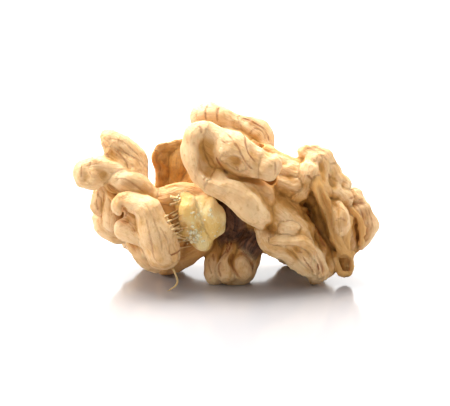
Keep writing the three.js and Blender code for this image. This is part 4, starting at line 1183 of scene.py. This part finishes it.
class Graph:
    """The nodes of one material."""

    def __init__(self, name: str) -> None:
        """Starts an empty material.

        Args:
            name: the material's name.
        """
        self.material = bpy.data.materials.new(name)
        self.material.use_nodes = True
        self.tree = self.material.node_tree
        self.tree.nodes.clear()
        self.output = self.tree.nodes.new("ShaderNodeOutputMaterial")

    def node(self, kind: str, settings: dict[str, Any], inputs: dict[str | int, Value]) -> Outputs:
        """Adds one node.

        Args:
            kind: the node's type.
            settings: its settings, set first.
            inputs: values or wires for its sockets, by name, number or identifier.

        Returns:
            The node's outputs.
        """
        item = self.tree.nodes.new(kind)
        for key, value in settings.items():
            setattr(item, key, value)
        for key, value in inputs.items():
            socket = self._socket(item, key)
            if isinstance(value, Wire):
                self.tree.links.new(value.socket, socket)
            else:
                socket.default_value = value
        return Outputs(self, item)

    @staticmethod
    def _socket(item: Any, key: str | int) -> Any:
        """Finds one of a node's inputs.

        Args:
            item: the node.
            key: the input's number, identifier or name.

        Returns:
            The input.
        """
        if isinstance(key, int):
            return item.inputs[key]
        for socket in item.inputs:
            if socket.identifier == key:
                return socket
        return item.inputs[key]

    def attribute(self, name: str, vector: bool = False) -> Wire:
        """Reads a value stored on the mesh's vertices."""
        out = self.node("ShaderNodeAttribute", {"attribute_name": name}, {})
        return out["Vector" if vector else "Fac"]

    def mix(self, factor: Value, a: Value, b: Value) -> Wire:
        """Mixes two colours.

        Args:
            factor: how much of the second, from 0 to 1.
            a: the first colour.
            b: the second colour.

        Returns:
            The mixed colour.
        """
        out = self.node(
            "ShaderNodeMix",
            {"data_type": "RGBA", "clamp_factor": True},
            {"Factor_Float": factor, "A_Color": a, "B_Color": b},
        )
        return Wire(self, next(s for s in out.item.outputs if s.identifier == "Result_Color"))

    def scaled(self, vector: Wire, factors: tuple[float, float, float]) -> Wire:
        """Stretches a vector."""
        return self.node("ShaderNodeVectorMath", {"operation": "MULTIPLY"}, {0: vector, 1: factors})[0]

    def noise(self, vector: Wire, scale: float, detail: float = 3.0, rough: float = 0.55) -> Wire:
        """Gives cloudy noise from 0 to 1."""
        values = {"Vector": vector, "Scale": scale, "Detail": detail, "Roughness": rough}
        return self.node("ShaderNodeTexNoise", {"noise_dimensions": "3D"}, values)["Fac"]

    def cell_edges(self, vector: Wire, scale: float) -> Wire:
        """Measures how far a point is from the edge of its Voronoi cell.

        Args:
            vector: the point.
            scale: how many cells fit in one unit.

        Returns:
            The distance, in cells.
        """
        values = {"Vector": vector, "Scale": scale}
        settings = {"feature": "DISTANCE_TO_EDGE", "voronoi_dimensions": "3D"}
        return self.node("ShaderNodeTexVoronoi", settings, values)["Distance"]

    def bump(self, height: Wire, strength: float, distance: float) -> Wire:
        """Turns heights, in metres times `distance`, into a normal."""
        values = {"Height": height, "Strength": strength, "Distance": distance}
        return self.node("ShaderNodeBump", {}, values)["Normal"]

    def finish(self, inputs: dict[str, Value]) -> bpy.types.Material:
        """Adds the surface shader and links it to the output.

        Args:
            inputs: values or wires for the shader's sockets.

        Returns:
            The finished material.
        """
        surface = self.node("ShaderNodeBsdfPrincipled", {}, inputs)
        self.tree.links.new(surface.item.outputs[0], self.output.inputs["Surface"])
        return self.material


Colour = tuple[float, float, float, float]


def shade(red: int, green: int, blue: int) -> Colour:
    """Turns a colour as the eye sees it into linear light.

    Args:
        red: its red, from 0 to 255.
        green: its green.
        blue: its blue.

    Returns:
        The colour with an alpha of 1.
    """

    def linear(level: int) -> float:
        """Gives one channel in linear light."""
        part = level / 255
        return part / 12.92 if part <= 0.04045 else ((part + 0.055) / 1.055) ** 2.4

    return (linear(red), linear(green), linear(blue), 1.0)


@dataclass(frozen=True)
class SkinReadings:
    """What the kernel's material reads at a point of its skin.

    Attributes:
        graph: the material's nodes.
        grain: the place along and across the lobe.
        crease: how deep the point sits in its nearest surroundings, from 0 to 1.
        hollow: the same for somewhat wider surroundings.
        shelter: the same for wide surroundings.
        worn: how wrinkled the lobe is.
        cloudy: broad clouds.
        mottled: small clouds.
        chips: the smallest clouds.
        streaks: broad streaks along the lobe.
        fine: fine streaks along the lobe.
    """

    graph: Graph
    grain: Wire
    crease: Wire
    hollow: Wire
    shelter: Wire
    worn: Wire
    cloudy: Wire
    mottled: Wire
    chips: Wire
    streaks: Wire
    fine: Wire

    @classmethod
    def read(cls, graph: Graph) -> "SkinReadings":
        """Adds the nodes that read the skin.

        Args:
            graph: the material's nodes.

        Returns:
            The readings.
        """
        grain = graph.attribute("grain", vector=True)
        place = graph.node("ShaderNodeTexCoord", {}, {})["Object"]
        return cls(
            graph=graph,
            grain=grain,
            crease=graph.attribute("crowding"),
            hollow=graph.attribute("hollow"),
            shelter=graph.attribute("shelter"),
            worn=graph.attribute("worn"),
            cloudy=graph.noise(place, 380.0),
            mottled=graph.noise(place, 1500.0),
            chips=graph.noise(place, 2600.0, 2.0),
            streaks=graph.noise(graph.scaled(grain, (0.22, 1.0, 1.0)), 1.6, 4.0, 0.6),
            fine=graph.noise(graph.scaled(grain, (0.1, 1.0, 1.0)), 6.0, 2.0, 0.6),
        )


@dataclass(frozen=True)
class KernelFinish:
    """The finish of the whole kernel: skin, bare flesh and the broken places between them, with shade painted
    into the folds.
    """

    skin_pale: Colour = shade(244, 207, 156)
    skin_tan: Colour = shade(218, 162, 88)
    skin_golden: Colour = shade(184, 128, 50)
    # crease and deep: browns for painted shade in folds and hollows; crease also spots the plate, deep also
    # streaks the throat and colours the stains.
    crease: Colour = shade(122, 78, 26)
    deep: Colour = shade(58, 32, 16)
    vein: Colour = shade(156, 82, 26)
    flesh: Colour = shade(240, 200, 118)
    flesh_pale: Colour = shade(250, 230, 176)
    torn: Colour = shade(204, 146, 84)
    plate: Colour = shade(196, 140, 56)
    # throat: the membrane's brown, partly painted shade of the recess behind the leg.
    throat: Colour = shade(136, 92, 62)
    paper: Colour = shade(208, 154, 74)
    scatter_depth: float = 0.0009
    wrinkle_height: float = 0.0003

    def material(self) -> bpy.types.Material:
        """Builds the material.

        Returns:
            The finished material.
        """
        g = Graph("kernel_skin_and_flesh")
        read = SkinReadings.read(g)
        flesh = g.attribute("flesh")
        faint, drawn = self._faint_veins(read), self._drawn_veins(read)
        skin = g.mix(faint, self._plain_skin(read), self.vein)
        skin = g.mix(drawn, skin, self.vein)
        # Painted shade goes on last, over the skin and its broken places.
        skin = self._painted_shade(read, self._broken_places(read, skin))
        height = read.fine * 0.5 + read.streaks * 0.8 + read.mottled * 0.25
        height = height - drawn * 0.3 - faint * 0.2
        return g.finish({
            "Base Color": g.mix(flesh, skin, self._meat(read)),
            "Roughness": 0.42 + read.mottled * 0.2 + flesh * 0.05,
            "Normal": g.bump(height, 0.9, self.wrinkle_height),
            "Subsurface Weight": 0.3,
            "Subsurface Radius": (1.0, 0.65, 0.35),
            "Subsurface Scale": self.scatter_depth,
            "Specular IOR Level": 0.35,
        })

    def _plain_skin(self, read: SkinReadings) -> Wire:
        """Colours the sound skin: pale on the crests, tan to golden in the folds as painted shade, with its
        own clouds, streaks and mottles.

        Args:
            read: the skin's readings.

        Returns:
            The colour.
        """
        g = read.graph
        # Painted shade from the crease, hollow and shelter readings, plus random clouds and streaks of the
        # skin's own tone.
        painted_shade_and_tone = read.hollow.rise(0.42, 0.95) * 0.9 + read.crease.rise(0.5, 0.85) * 0.5
        painted_shade_and_tone = painted_shade_and_tone + read.shelter.rise(0.35, 0.9) * 0.7 + (read.cloudy - 0.45) * 0.9
        painted_shade_and_tone = painted_shade_and_tone + (read.streaks - 0.45) * (read.worn * 0.6 + 0.15)
        skin = g.mix(painted_shade_and_tone.rise(-0.1, 0.5), self.skin_pale, self.skin_tan)
        skin = g.mix(painted_shade_and_tone.rise(0.35, 1.2), skin, self.skin_golden)
        threads = read.fine.rise(0.5, 0.75, 0.0, 0.3) * (read.worn * 0.9 + 0.5)
        skin = g.mix(threads, skin, self.skin_golden)
        return g.mix(read.mottled.rise(0.55, 0.75, 0.0, 0.4), skin, self.skin_golden)

    def _faint_veins(self, read: SkinReadings) -> Wire:
        """Spreads a faint net of veins along the lobes, strongest in the darker clouds."""
        branch = read.graph.cell_edges(read.graph.scaled(read.grain, (0.35, 1.0, 1.0)), 0.42)
        return branch.rise(0.07, 0.0) * read.cloudy.rise(0.45, 0.65) * 0.3

    def _drawn_veins(self, read: SkinReadings) -> Wire:
        """Shows the drawn veins with ragged edges."""
        ragged = read.graph.attribute("vein") + (read.mottled - 0.5) * 0.8
        return ragged.rise(1.6, 0.4) * read.graph.attribute("vein_strength") * 1.3

    def _broken_places(self, read: SkinReadings, skin: Wire) -> Wire:
        """Colours papery edges, torn skin, the plate, the throat and the stains; the throat's brown is partly
        painted shade.

        Args:
            read: the skin's readings.
            skin: the colour of the sound skin.

        Returns:
            The colour with those places in it.
        """
        g = read.graph
        papery = g.mix(read.streaks, self.paper, self.skin_tan)
        ragged = g.mix(read.mottled, self.torn, self.skin_tan)
        spotted = g.mix(read.mottled.rise(0.35, 0.75, 0.0, 0.6), self.plate, self.crease)
        brown = g.mix(read.streaks.rise(0.35, 0.7), self.throat, self.deep)
        skin = g.mix(g.attribute("paper") * 0.8, skin, papery)
        skin = g.mix(g.attribute("torn") * 0.8, skin, ragged)
        skin = g.mix(g.attribute("plate") * 0.9, skin, spotted)
        skin = g.mix(g.attribute("throat"), skin, brown)
        return g.mix(g.attribute("stain"), skin, self.deep)

    def _painted_shade(self, read: SkinReadings, skin: Wire) -> Wire:
        """Darkens the skin where folds meet, in hollows and in sheltered places: painted shade.

        Args:
            read: the skin's readings.
            skin: the colour so far.

        Returns:
            The darkened colour.
        """
        g = read.graph
        # Painted shade: crease brown where the point is crowded, hollow or sheltered, and deep brown in the
        # tightest creases.
        skin = g.mix(read.crease.rise(0.62, 0.9, 0.0, 0.7), skin, self.crease)
        skin = g.mix(read.hollow.rise(0.7, 1.0, 0.0, 0.8), skin, self.crease)
        skin = g.mix(read.shelter.rise(0.55, 0.95, 0.0, 0.6), skin, self.crease)
        return g.mix(read.crease.rise(0.82, 1.0), skin, self.deep)

    def _meat(self, read: SkinReadings) -> Wire:
        """Colours the bare flesh: cream with paler chips, golden in its hollows as painted shade.

        Args:
            read: the skin's readings.

        Returns:
            The colour.
        """
        g = read.graph
        chipped = read.cloudy.rise(0.4, 0.6) * 0.6 + read.chips.rise(0.6, 0.8)
        meat = g.mix(chipped, self.flesh, self.flesh_pale)
        # Painted shade: golden in the flesh's hollows.
        return g.mix(read.hollow.rise(0.6, 1.0, 0.0, 0.6), meat, self.skin_golden)


# ---------------------------------------------------------------------------------------------
# The kernel


@dataclass
class Kernel:
    """The whole kernel as one fine skin.

    Attributes:
        placement: carries the written sizes to the frame.
        cell: the spacing of the points the skin is laid through.
        finish: its material.
    """

    placement: Placement
    cell: float = 0.22
    finish: KernelFinish = KernelFinish()

    LOW = (-20.4, -9.4, -0.7)
    HIGH = (20.4, 13.4, 23.4)
    TISSUE_REACH = 0.8
    TISSUE_FADE = 0.15
    GRAIN_SHIFT = (17.3, 5.1)
    WARP = 0.28
    WARP_SIZE = 2.6
    FULLY_WORN = 0.22
    CROWDING_REACHES = (("crowding", 0.4), ("hollow", 1.3), ("shelter", 3.0))
    FAR_FROM_VEINS = 9.0
    WIDEST_VEIN = 0.16
    CREASE_STRENGTH = 0.5

    def field(self) -> DistanceGrid:
        """Melts all the lobes together, presses the hollows in and sculpts the drawn lines.

        Returns:
            The distances to the finished shape.
        """
        grid = DistanceGrid(self.LOW, self.HIGH, self.cell)
        for lobe in LOBES:
            grid.add(lobe)
        for hollow in HOLLOWS:
            grid.carve(hollow)
        drawing = Drawing(grid)
        for stroke in STROKES:
            if stroke.carved:
                drawing.sculpt(stroke)
        grid.flatten_below(0.0)
        return grid

    def build(self, grid: DistanceGrid) -> bpy.types.Object:
        """Makes the kernel's mesh with the values its material reads.

        Args:
            grid: the distances to its shape.

        Returns:
            The kernel.
        """
        vertices, quads = grid.skin()
        normals = vertex_normals(vertices, quads)
        shares, grain, flute = self._tissues(vertices)
        vertices = vertices + normals * self._relief(vertices, grain, flute, shares)[:, None]
        veins, strength, stain = self._lines(grid, vertices)
        # How crowded each point is at three reaches; the material paints shade into the colour from these.
        crowding = {
            name: grid.sample(vertices, grid.crowding(reach))
            for name, reach in self.CROWDING_REACHES
        }
        vertices = self._warped(vertices)
        mesh = bpy.data.meshes.new("walnut_kernel_skin")
        mesh.from_pydata(self.placement.to_frame(vertices).tolist(), [], quads.tolist())
        mesh.update()
        mesh.shade_smooth()
        for name, values in crowding.items():
            store(mesh, name, values)
        store(mesh, "vein", veins)
        store(mesh, "vein_strength", strength)
        store(mesh, "stain", stain)
        store(mesh, "worn", flute / self.FULLY_WORN)
        for tissue in (Tissue.FLESH, Tissue.PAPER, Tissue.TORN, Tissue.THROAT, Tissue.PLATE):
            store(mesh, tissue.value, shares[tissue])
        store_vectors(mesh, "grain", grain)
        piece = bpy.data.objects.new("walnut_kernel_fine", mesh)
        bpy.context.scene.collection.objects.link(piece)
        mesh.materials.append(self.finish.material())
        return piece

    def _tissues(self, vertices: np.ndarray) -> tuple[dict[Tissue, np.ndarray], np.ndarray, np.ndarray]:
        """Finds what each vertex is made of.

        Args:
            vertices: the skin's points.

        Returns:
            The share of each tissue, the place along and across the nearest lobe, and how
            wrinkled that lobe is.
        """
        total = np.full(len(vertices), 1e-9)
        shares = {tissue: np.zeros(len(vertices)) for tissue in Tissue}
        grain = np.zeros((len(vertices), 3))
        flute = np.zeros(len(vertices))
        nearest = np.full(len(vertices), np.inf)
        for number, lobe in enumerate(LOBES):
            low, high = lobe.box(self.TISSUE_REACH)
            near = np.flatnonzero(((vertices > low) & (vertices < high)).all(1))
            if not len(near):
                continue
            distance, along = lobe.measure(vertices[near])
            weight = np.exp(-np.maximum(distance, 0) / self.TISSUE_FADE)
            total[near] += weight
            shares[lobe.tissue][near] += weight
            flute[near] += weight * lobe.flute
            closer = distance < nearest[near]
            chosen = near[closer]
            nearest[chosen] = distance[closer]
            across = vertices[chosen] - lobe_middle(lobe, along[closer])
            frame = lobe_frame(lobe)
            grain[chosen, 0] = along[closer] + self.GRAIN_SHIFT[0] * number
            grain[chosen, 1] = across @ frame[1] + self.GRAIN_SHIFT[1] * number
            grain[chosen, 2] = across @ frame[2]
        return {t: s / total for t, s in shares.items()}, grain, flute / total

    def _relief(
        self,
        vertices: np.ndarray,
        grain: np.ndarray,
        flute: np.ndarray,
        shares: dict[Tissue, np.ndarray],
    ) -> np.ndarray:
        """Works out how far each vertex stands out from the plain lobes.

        Args:
            vertices: the skin's points.
            grain: the place of each along and across its lobe.
            flute: how high its wrinkles are.
            shares: the share of each tissue.

        Returns:
            The heights, in millimetres.
        """
        lumps = 0.12 * layered_noise(vertices, 2.4, 11) + 0.03 * layered_noise(vertices, 0.8, 23, 2)
        folds = ridged(vertices, 1.7, 37) + 0.5 * ridged(vertices, 0.85, 39) - 0.9
        threads = smooth_noise(grain * (0.22, 1.0, 1.0), 0.55, 31)
        skin = lumps + flute * (folds + 0.25 * threads)
        chunks = 0.22 * np.abs(smooth_noise(vertices, 1.5, 41)) + 0.1 * smooth_noise(vertices, 0.6, 43)
        flesh = shares[Tissue.FLESH]
        return skin * (1 - flesh) + (chunks - 0.08) * flesh

    def _warped(self, vertices: np.ndarray) -> np.ndarray:
        """Bends the whole skin gently, but not where it stands.

        Args:
            vertices: the skin's points.

        Returns:
            The moved points.
        """
        seeds = (51, 52, 53)
        shift = np.stack([smooth_noise(vertices, self.WARP_SIZE, seed) for seed in seeds], -1)
        hold = np.clip(vertices[:, 2:] / self.WARP_SIZE, 0, 1)
        moved = vertices + self.WARP * shift * hold
        moved[:, 2] = np.maximum(moved[:, 2], 0.0)
        return moved

    def _lines(
        self, grid: DistanceGrid, vertices: np.ndarray
    ) -> tuple[np.ndarray, np.ndarray, np.ndarray]:
        """Reads the coloured lines at each vertex.

        Args:
            grid: the sculpted distances.
            vertices: the skin's points.

        Returns:
            The distance to the nearest vein as a share of its width, how strong that vein is,
            and how stained the vertex is.
        """
        drawing = Drawing(grid)
        vein = np.full(len(vertices), self.FAR_FROM_VEINS)
        strength = np.zeros(len(vertices))
        stain = np.zeros(len(vertices))
        for stroke in STROKES:
            if not stroke.coloured and stroke.mark is not Mark.STAIN:
                continue
            line = drawing.project(stroke.path)
            if not len(line):
                LOG.warning("a vein missed the kernel at %s", stroke.path[0])
                continue
            width = min(stroke.width, self.WIDEST_VEIN) if stroke.coloured else stroke.width
            near, gap, part = nearest_on_line(line, vertices, 4 * width + 0.3)
            taper = np.clip(np.minimum(part, 1 - part) * 8, 0.3, 1)
            if stroke.coloured:
                share = gap / (width * taper)
                closer = share < vein[near]
                vein[near[closer]] = share[closer]
                least = self.CREASE_STRENGTH if stroke.mark is Mark.CREASE else 0.0
                strength[near[closer]] = max(stroke.depth, least)
            else:
                stain[near] = np.maximum(stain[near], np.exp(-((gap / width) ** 2)) * stroke.depth)
        return vein, strength, stain


def nearest_on_line(
    line: np.ndarray, vertices: np.ndarray, reach: float
) -> tuple[np.ndarray, np.ndarray, np.ndarray]:
    """Measures the vertices near a line of points.

    Args:
        line: the points, in order.
        vertices: all the skin's points.
        reach: how far from the line's box to look.

    Returns:
        Which vertices are near, how far each is from the line, and how far along the line its
        nearest point lies, from 0 to 1.
    """
    inside = (vertices > line.min(0) - reach) & (vertices < line.max(0) + reach)
    near = np.flatnonzero(inside.all(1))
    tree = KDTree(len(line))
    for number, point in enumerate(line):
        tree.insert(point, number)
    tree.balance()
    found = [tree.find(vertices[vertex]) for vertex in near]
    gap = np.array([hit[2] for hit in found])
    part = np.array([hit[1] for hit in found]) / max(len(line) - 1, 1)
    return near, gap, part


def lobe_middle(lobe: Lobe, along: np.ndarray) -> np.ndarray:
    """Finds places on a lobe's middle line.

    Args:
        lobe: the lobe.
        along: distances along it.

    Returns:
        The points at those distances.
    """
    stations = lobe.stations()[:, :3]
    travelled = np.concatenate([[0], np.cumsum(np.linalg.norm(np.diff(stations, axis=0), axis=1))])
    return np.stack([np.interp(along, travelled, stations[:, k]) for k in range(3)], -1)


def lobe_frame(lobe: Lobe) -> np.ndarray:
    """Works out which way a lobe runs.

    Args:
        lobe: the lobe.

    Returns:
        Its general direction and two directions square to it, one to a row.
    """
    stations = lobe.stations()[:, :3]
    ahead = stations[-1] - stations[0] + (1e-6, 0, 0)
    ahead = ahead / np.linalg.norm(ahead)
    side = np.cross(ahead, (0.31, 0.21, 0.93))
    side = side / np.linalg.norm(side)
    return np.array([ahead, side, np.cross(ahead, side)])


def store(mesh: bpy.types.Mesh, name: str, values: np.ndarray) -> None:
    """Keeps one number for each vertex."""
    layer = mesh.attributes.new(name, "FLOAT", "POINT")
    layer.data.foreach_set("value", np.asarray(values, np.float32))


def store_vectors(mesh: bpy.types.Mesh, name: str, values: np.ndarray) -> None:
    """Keeps one vector for each vertex."""
    layer = mesh.attributes.new(name, "FLOAT_VECTOR", "POINT")
    layer.data.foreach_set("vector", np.asarray(values, np.float32).ravel())


def enlist(piece: bpy.types.Object) -> None:
    """Rides a piece on the body, lets it stand for the solid and reports it.

    Args:
        piece: the piece.
    """
    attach(piece, BODY)
    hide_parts(NODE)
    LOG.info("%s: %d vertices, %d faces", piece.name, len(piece.data.vertices), len(piece.data.polygons))


# ---------------------------------------------------------------------------------------------
# The studio


@dataclass(frozen=True)
class FloorFinish:
    """A pale, slightly glossy tabletop."""

    colour: Colour = (0.5, 0.485, 0.49, 1.0)
    roughness: float = 0.1

    def material(self) -> bpy.types.Material:
        """Builds the material.

        Returns:
            The finished material.
        """
        g = Graph("pale_tabletop")
        place = g.node("ShaderNodeTexCoord", {}, {})["Object"]
        grain = g.noise(place, 30.0, 2.0)
        return g.finish({
            "Base Color": self.colour,
            "Roughness": self.roughness + grain * 0.06,
            "IOR": 1.9,
        })


@dataclass
class Studio:
    """The floor, the light and the camera.

    `DISTANCE` and `AIM` are written millimetres. `LAMPS` gives each lamp's name, its place and the
    side of its square in metres, and its power in watts.

    Attributes:
        placement: carries the written sizes to the frame.
        floor_side: the floor's side, in metres.
        surround: how bright the white surround is.
    """

    placement: Placement
    floor_side: float = 3.0
    surround: float = 0.3

    DISTANCE = 300.0
    RISE = math.radians(15)
    AIM = (-0.1, 0.0, 10.1)
    LENS = 192.0
    SENSOR = 36.0
    CLIP_START = 0.01
    LIT_POINT = (0.0, 0.0, 0.01)
    LAMPS = (
        ("key_light", (-0.08, 0.12, 0.33), 0.3, 3.3),
        ("back_light", (0.0, 0.34, 0.22), 0.4, 1.2),
        ("left_light", (-0.34, 0.02, 0.16), 0.24, 0.8),
        ("right_light", (0.34, 0.04, 0.16), 0.24, 0.6),
        ("front_light", (-0.12, -0.32, 0.3), 0.3, 0.3),
    )

    def floor(self) -> None:
        """Lays the floor."""
        bpy.ops.mesh.primitive_plane_add(size=self.floor_side, location=(0, 0, 0))
        floor = bpy.context.object
        floor.name = "floor"
        floor.data.materials.append(FloorFinish().material())

    def light(self, name: str, place: tuple[float, float, float], side: float, power: float) -> None:
        """Hangs one soft square light that faces the kernel.

        Args:
            name: the lamp's name.
            place: where it hangs, in metres.
            side: the side of its square, in metres.
            power: its power, in watts.
        """
        lamp = bpy.data.lights.new(name, "AREA")
        lamp.size = side
        lamp.energy = power
        holder = bpy.data.objects.new(name, lamp)
        bpy.context.scene.collection.objects.link(holder)
        holder.location = place
        aim = Vector(self.LIT_POINT) - Vector(place)
        holder.rotation_euler = aim.to_track_quat("-Z", "Y").to_euler()

    def lights(self) -> None:
        """Sets the surround and the lamps."""
        world = bpy.data.worlds.new("white_surround")
        bpy.context.scene.world = world
        world.use_nodes = True
        background = world.node_tree.nodes["Background"]
        background.inputs["Color"].default_value = (1, 1, 1, 1)
        background.inputs["Strength"].default_value = self.surround
        for lamp in self.LAMPS:
            self.light(*lamp)

    def camera(self) -> None:
        """Sets the camera at the usual view."""
        away = Vector((0, -math.cos(self.RISE), math.sin(self.RISE))) * self.DISTANCE
        aim = Vector(self.AIM)
        lens = bpy.data.cameras.new("camera")
        lens.lens = self.LENS
        lens.sensor_width = self.SENSOR
        lens.clip_start = self.CLIP_START
        holder = bpy.data.objects.new("camera", lens)
        bpy.context.scene.collection.objects.link(holder)
        holder.location = Vector(self.placement.to_frame([aim + away])[0])
        holder.rotation_euler = (math.pi / 2 - self.RISE, 0, 0)
        bpy.context.scene.camera = holder
        bpy.context.scene.view_settings.view_transform = "Standard"


# ---------------------------------------------------------------------------------------------
# Loose bits


@dataclass(frozen=True)
class ScrapFinish:
    """A plain dull finish for loose bits.

    Attributes:
        name: the material's name.
        colour: its colour.
        darker: the colour it is mottled with.
    """

    name: str
    colour: Colour
    darker: Colour

    def material(self) -> bpy.types.Material:
        """Builds the material.

        Returns:
            The finished material.
        """
        g = Graph(self.name)
        place = g.node("ShaderNodeTexCoord", {}, {})["Object"]
        cloudy = g.noise(place, 1800.0, 2.0)
        return g.finish({
            "Base Color": g.mix(cloudy.rise(0.45, 0.65), self.colour, self.darker),
            "Roughness": 0.55 + cloudy * 0.1,
            "Subsurface Weight": 0.3,
            "Subsurface Radius": (1.0, 0.6, 0.3),
            "Subsurface Scale": 0.0004,
        })


@dataclass
class Scraps:
    """Crumbs of flesh, torn strands and the one loose fibre.

    `SIDES` is how many sides a strand has, and `SEED` starts the random draws.

    Attributes:
        placement: carries the written sizes to the frame.
        drawing: throws points on to the kernel.
    """

    placement: Placement
    drawing: Drawing

    SIDES = 6
    SEED = 7

    def crumbs(self) -> bpy.types.Object:
        """Scatters pale crumbs over the bare flesh.

        Returns:
            All the crumbs as one piece.
        """
        rng = np.random.default_rng(self.SEED)
        vertices: list[np.ndarray] = []
        faces: list[np.ndarray] = []
        for u, v, spread, count in CRUMB_HEAPS:
            for place in rng.normal((u, v), spread, (count, 2)):
                hit = self.drawing.project((tuple(place),))
                if not len(hit):
                    continue
                size = rng.uniform(0.1, 0.24) * rng.uniform(0.6, 1.3, 3)
                ball, sides = lumpy_ball(rng)
                faces.append(sides + sum(len(part) for part in vertices))
                vertices.append(hit[0] + ball * size)
        finish = ScrapFinish("flesh_crumb", shade(248, 234, 196), shade(232, 206, 150))
        return self._piece("flesh_crumbs", np.vstack(vertices), np.vstack(faces).tolist(), finish)

    def strands(self) -> bpy.types.Object:
        """Lays torn strands of skin along the edge of the break.

        Returns:
            All the strands as one piece.
        """
        rng = np.random.default_rng(self.SEED + 1)
        vertices: list[np.ndarray] = []
        faces: list[list[int]] = []
        for root, tip, count in STRAND_ROWS:
            for part in np.linspace(0, 1, count):
                start = np.array(root[0]) * (1 - part) + np.array(root[1]) * part
                end = np.array(tip[0]) * (1 - part) + np.array(tip[1]) * part
                ends = np.array([start, end]) + rng.normal(0, 0.16, (2, 2))
                line = self.drawing.project((tuple(ends[0]), tuple(ends[1])))
                if len(line) < 6:
                    continue
                path = line[:: max(len(line) // 5, 1)] + rng.normal(0, 0.03, 3)
                path = path - np.outer(np.linspace(0, 1, len(path)), (0, rng.uniform(0.1, 0.4), 0))
                radii = np.linspace(rng.uniform(0.1, 0.28), 0.04, len(path))
                self._tube(path, radii, vertices, faces)
        finish = ScrapFinish("torn_strand", shade(240, 204, 146), shade(214, 158, 92))
        return self._piece("torn_strands", np.vstack(vertices), faces, finish)

    def fibre(self) -> bpy.types.Object:
        """Hangs the loose fibre from the front finger down to the tabletop.

        Returns:
            The fibre with its side branch.
        """
        vertices: list[np.ndarray] = []
        faces: list[list[int]] = []
        path = dense_path(np.array(FIBRE), 0.12)
        wide = np.interp(np.linspace(0, 1, len(path)), (0, 0.3, 0.8, 1), (0.16, 0.13, 0.12, 0.04))
        self._tube(path, wide, vertices, faces)
        fork = dense_path(np.array(FIBRE_FORK), 0.12)
        self._tube(fork, np.linspace(0.08, 0.03, len(fork)), vertices, faces)
        finish = ScrapFinish("pale_fibre", shade(232, 200, 142), shade(206, 160, 96))
        return self._piece("loose_fibre", np.vstack(vertices), faces, finish)

    def _tube(
        self, path: np.ndarray, radii: np.ndarray, vertices: list[np.ndarray], faces: list[list[int]]
    ) -> None:
        """Adds a closed tube of changing width along a path.

        Args:
            path: the points of its middle line.
            radii: its radius at each of them.
            vertices: where its vertices are added.
            faces: where its faces are added.
        """
        first = sum(len(part) for part in vertices)
        ahead = np.gradient(path, axis=0)
        ahead = ahead / np.linalg.norm(ahead, axis=1)[:, None]
        side = np.cross(ahead, (0.2, 0.9, 0.38))
        side = side / np.linalg.norm(side, axis=1)[:, None]
        other = np.cross(ahead, side)
        turns = np.arange(self.SIDES) * math.tau / self.SIDES
        ring = np.cos(turns)[:, None] * side[:, None] + np.sin(turns)[:, None] * other[:, None]
        vertices.append((path[:, None] + ring * radii[:, None, None]).reshape(-1, 3))
        last = len(path) - 1
        for i in range(last):
            for j in range(self.SIDES):
                a, b = first + i * self.SIDES + j, first + i * self.SIDES + (j + 1) % self.SIDES
                faces.append([a, b, b + self.SIDES, a + self.SIDES])
        faces.append([first + j for j in reversed(range(self.SIDES))])
        faces.append([first + last * self.SIDES + j for j in range(self.SIDES)])

    def _piece(
        self, name: str, vertices: np.ndarray, faces: list[list[int]], finish: ScrapFinish
    ) -> bpy.types.Object:
        """Makes one object from written sizes.

        Args:
            name: the piece's name.
            vertices: its vertices, in written millimetres.
            faces: its faces.
            finish: its finish.

        Returns:
            The piece.
        """
        mesh = bpy.data.meshes.new(name)
        lifted = np.maximum(vertices, (-99, -99, 0.0))
        mesh.from_pydata(self.placement.to_frame(lifted).tolist(), [], faces)
        mesh.update()
        mesh.shade_smooth()
        mesh.materials.append(finish.material())
        piece = bpy.data.objects.new(name, mesh)
        bpy.context.scene.collection.objects.link(piece)
        return piece


def lumpy_ball(rng: np.random.Generator) -> tuple[np.ndarray, np.ndarray]:
    """Makes a rough ball with a radius of about 1.

    Args:
        rng: the random draws.

    Returns:
        Its vertices and its triangles.
    """
    shape = bmesh.new()
    bmesh.ops.create_icosphere(shape, subdivisions=2, radius=1.0)
    vertices = np.array([v.co for v in shape.verts])
    triangles = np.array([[v.index for v in face.verts] for face in shape.faces])
    shape.free()
    lumps = layered_noise(vertices + rng.uniform(0, 50, 3), 0.9, 3, 2)
    return vertices * (1 + 0.35 * lumps)[:, None], triangles


def main() -> None:
    """Builds the kernel and the studio round it."""
    logging.basicConfig(level=logging.INFO, format="%(message)s")
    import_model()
    placement = Placement.from_frame()
    kernel = Kernel(placement)
    grid = kernel.field()
    scraps = Scraps(placement, Drawing(grid))
    for piece in (kernel.build(grid), scraps.crumbs(), scraps.strands(), scraps.fibre()):
        enlist(piece)
    studio = Studio(placement)
    studio.floor()
    studio.lights()
    studio.camera()


if __name__ == "__main__":
    main()
